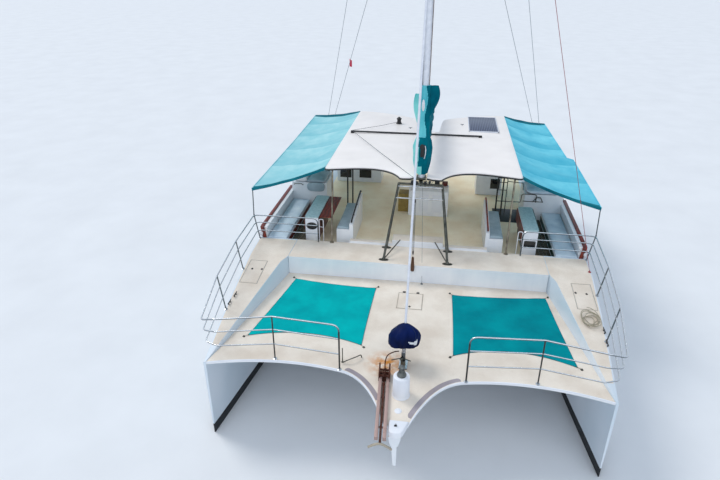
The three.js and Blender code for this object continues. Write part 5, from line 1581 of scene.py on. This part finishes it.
# Handrails on the backs of the inboard benches
HAND_Y = 1.905
for side_name, side in SIDES:
    hand = Shape(side)
    hand.tube(smooth_path([(x, HAND_Y, z) for x, z in ((-7.25, 3.2), (-7.1, 3.235), (-6.4, 3.145), (-5.8, 3.065),
                                                       (-5.5, 3.015), (-5.4, 2.975))]), 0.024, 12)
    for x, z in ((-7.1, 3.158), (-6.45, 3.074), (-5.85, 2.997)):
        hand.block(x, HAND_Y, 0.02, 0.014, z, z + 0.07)
    hand.done(f"bench_handrail_{side_name}", MAHOGANY if side > 0 else BLACK, "mahogany")

# Console and helm: front panels, instrument boxes and a locker beside them.
# Columns: material, both corners, bevel and its steps
CONSOLE_Z = 3.1003
HELM_PARTS = [
    (0, (-7.7995, -0.12, 2.4), (-7.79, 0.18, 2.98), 0.005, 2),
    (0, (-7.7995, 0.3, 2.4), (-7.79, 0.6, 2.98), 0.005, 2),
    (1, (-8.48, 0.34, CONSOLE_Z), (-8.36, 0.5, 3.24), 0.02, 3),
    (1, (-8.44, -0.1, CONSOLE_Z), (-8.3, 0.1, 3.15), 0.02, 3),
    (2, (-8.46, 0.58, CONSOLE_Z), (-8.34, 0.76, 3.24), 0.02, 3),
]
helm = Shape()
for material, low, high, bevel, steps in HELM_PARTS:
    helm.mat = material
    helm.box(low, high, bevel, steps)
helm.done("console_fittings", [MARGIN, BLACK, DARK_WOOD_AND_SHADE], "gelcoat")
Shape().prism([(-8.5, -0.8), (-8.05, -0.8), (-8.05, -0.46), (-8.5, -0.46)], SOLE + 0.0006, 2.86, 0.012, 3).done(
    "helm_side_board", OCHRE, "mahogany")

# Roof: winch, lines, cleats, and blocks at the foot of the mast
z = ROOF_TOP + roof_crown(1.06)
Shape().lathe([(0.1, -0.004), (0.1, 0.02), (0.075, 0.04), (0.066, 0.12), (0.082, 0.16), (0.086, 0.19), (0.05, 0.21),
               (0.03, 0.235)], (-10.66, -1.06, z), sides=28).done("roof_winch", BLACK, "black_plastic")
lines = Shape()
lines.tube([(-9.3, -2.5, 4.535), (-7.2, -1.35, 4.52), (-5.22, -0.2, 4.48)], 0.006, 8)
lines.tube([(-9.36, -2.5, 4.54), (-10.1, -1.6, 4.54), (-10.6, -1.1, z + 0.07)], 0.006, 8)
lines.done("roof_lines", DARK_ROPE, "rope")
roof_cleats = Shape()
for x, y in ((-10.8, 1.14), (-10.1, -0.62)):
    z = ROOF_TOP + roof_crown(y)
    roof_cleats.block(x, y, 0.04, 0.02, z - 0.002, z + 0.012, 0.005)
    roof_cleats.tube([(x, y - 0.06, z + 0.028), (x, y, z + 0.02), (x, y + 0.06, z + 0.028)], 0.008, 8)
roof_cleats.done("roof_cleats", WIRE, "steel")
blocks = Shape()
for y, z, r in ((-0.22, 4.36, 0.05), (-0.1, 4.34, 0.045), (0.12, 4.35, 0.05), (0.24, 4.37, 0.04)):
    blocks.lathe([(0.006, -0.03), (r, -0.024), (r, 0.024), (0.006, 0.03)], (-5.2, y, z), (0.3, 1, 0), 20)
    blocks.box((-5.27, y - 0.012, z - 0.01), (-5.2, y + 0.012, z + 0.01), 0.003)
blocks.done("mast_foot_blocks", BLACK, "black_plastic")

# Plain pennant on the starboard stay
pennant_piece = Shape().sheet(
    [[(-11.3 - 0.26 * v, -2.9 - 0.03 * math.sin(6 * v), 6.55 - 0.26 * u - 0.12 * v + 0.05 * u * v) for v in shares(12)]
     for u in shares(12)]).done("stay_pennant", PENNANT, "navy_fabric", sharp=SOFT_ANGLE)

# Tackle from the mast support down to the front of the beam deck, and its wooden handle
tackle = Shape()
for d in (-0.014, 0.014):
    tackle.tube([(-5.02, -0.11 + d, 3.96), (-4.03, -0.06 + d, 2.78)], 0.006, 8)
tackle.mat = 1
for place in ((-4.98, -0.108, 3.9), (-4.08, -0.062, 2.84)):
    tackle.lathe([(0.006, -0.022), (0.04, -0.018), (0.04, 0.018), (0.006, 0.022)], place, (0, 1, 0), 18)
tackle.mat = 2
tackle.lathe([(0.012, 0.0), (0.03, -0.03), (0.036, -0.12), (0.05, -0.3), (0.046, -0.42), (0.0, -0.44)],
             (-3.95, -0.055, 2.78), (0.02, 0, 1), 20)
tackle.done("vang_tackle", [DARK_ROPE, BLACK, BROWN_CANVAS], "rope")

# Halyard made fast on the port side deck
halyard = Shape()
halyard.tube([(-4.3, 4.44, RAISED + 0.012), (MAST_X + 0.12, 0.11, 18.5)], 0.006, 8)
halyard.lathe([(0.04, 0.0), (0.04, 0.008), (0.012, 0.02), (0.01, 0.05)], (-4.3, 4.44, RAISED + 0.004), sides=16)
halyard.done("port_halyard", RED_ROPE, "rope")
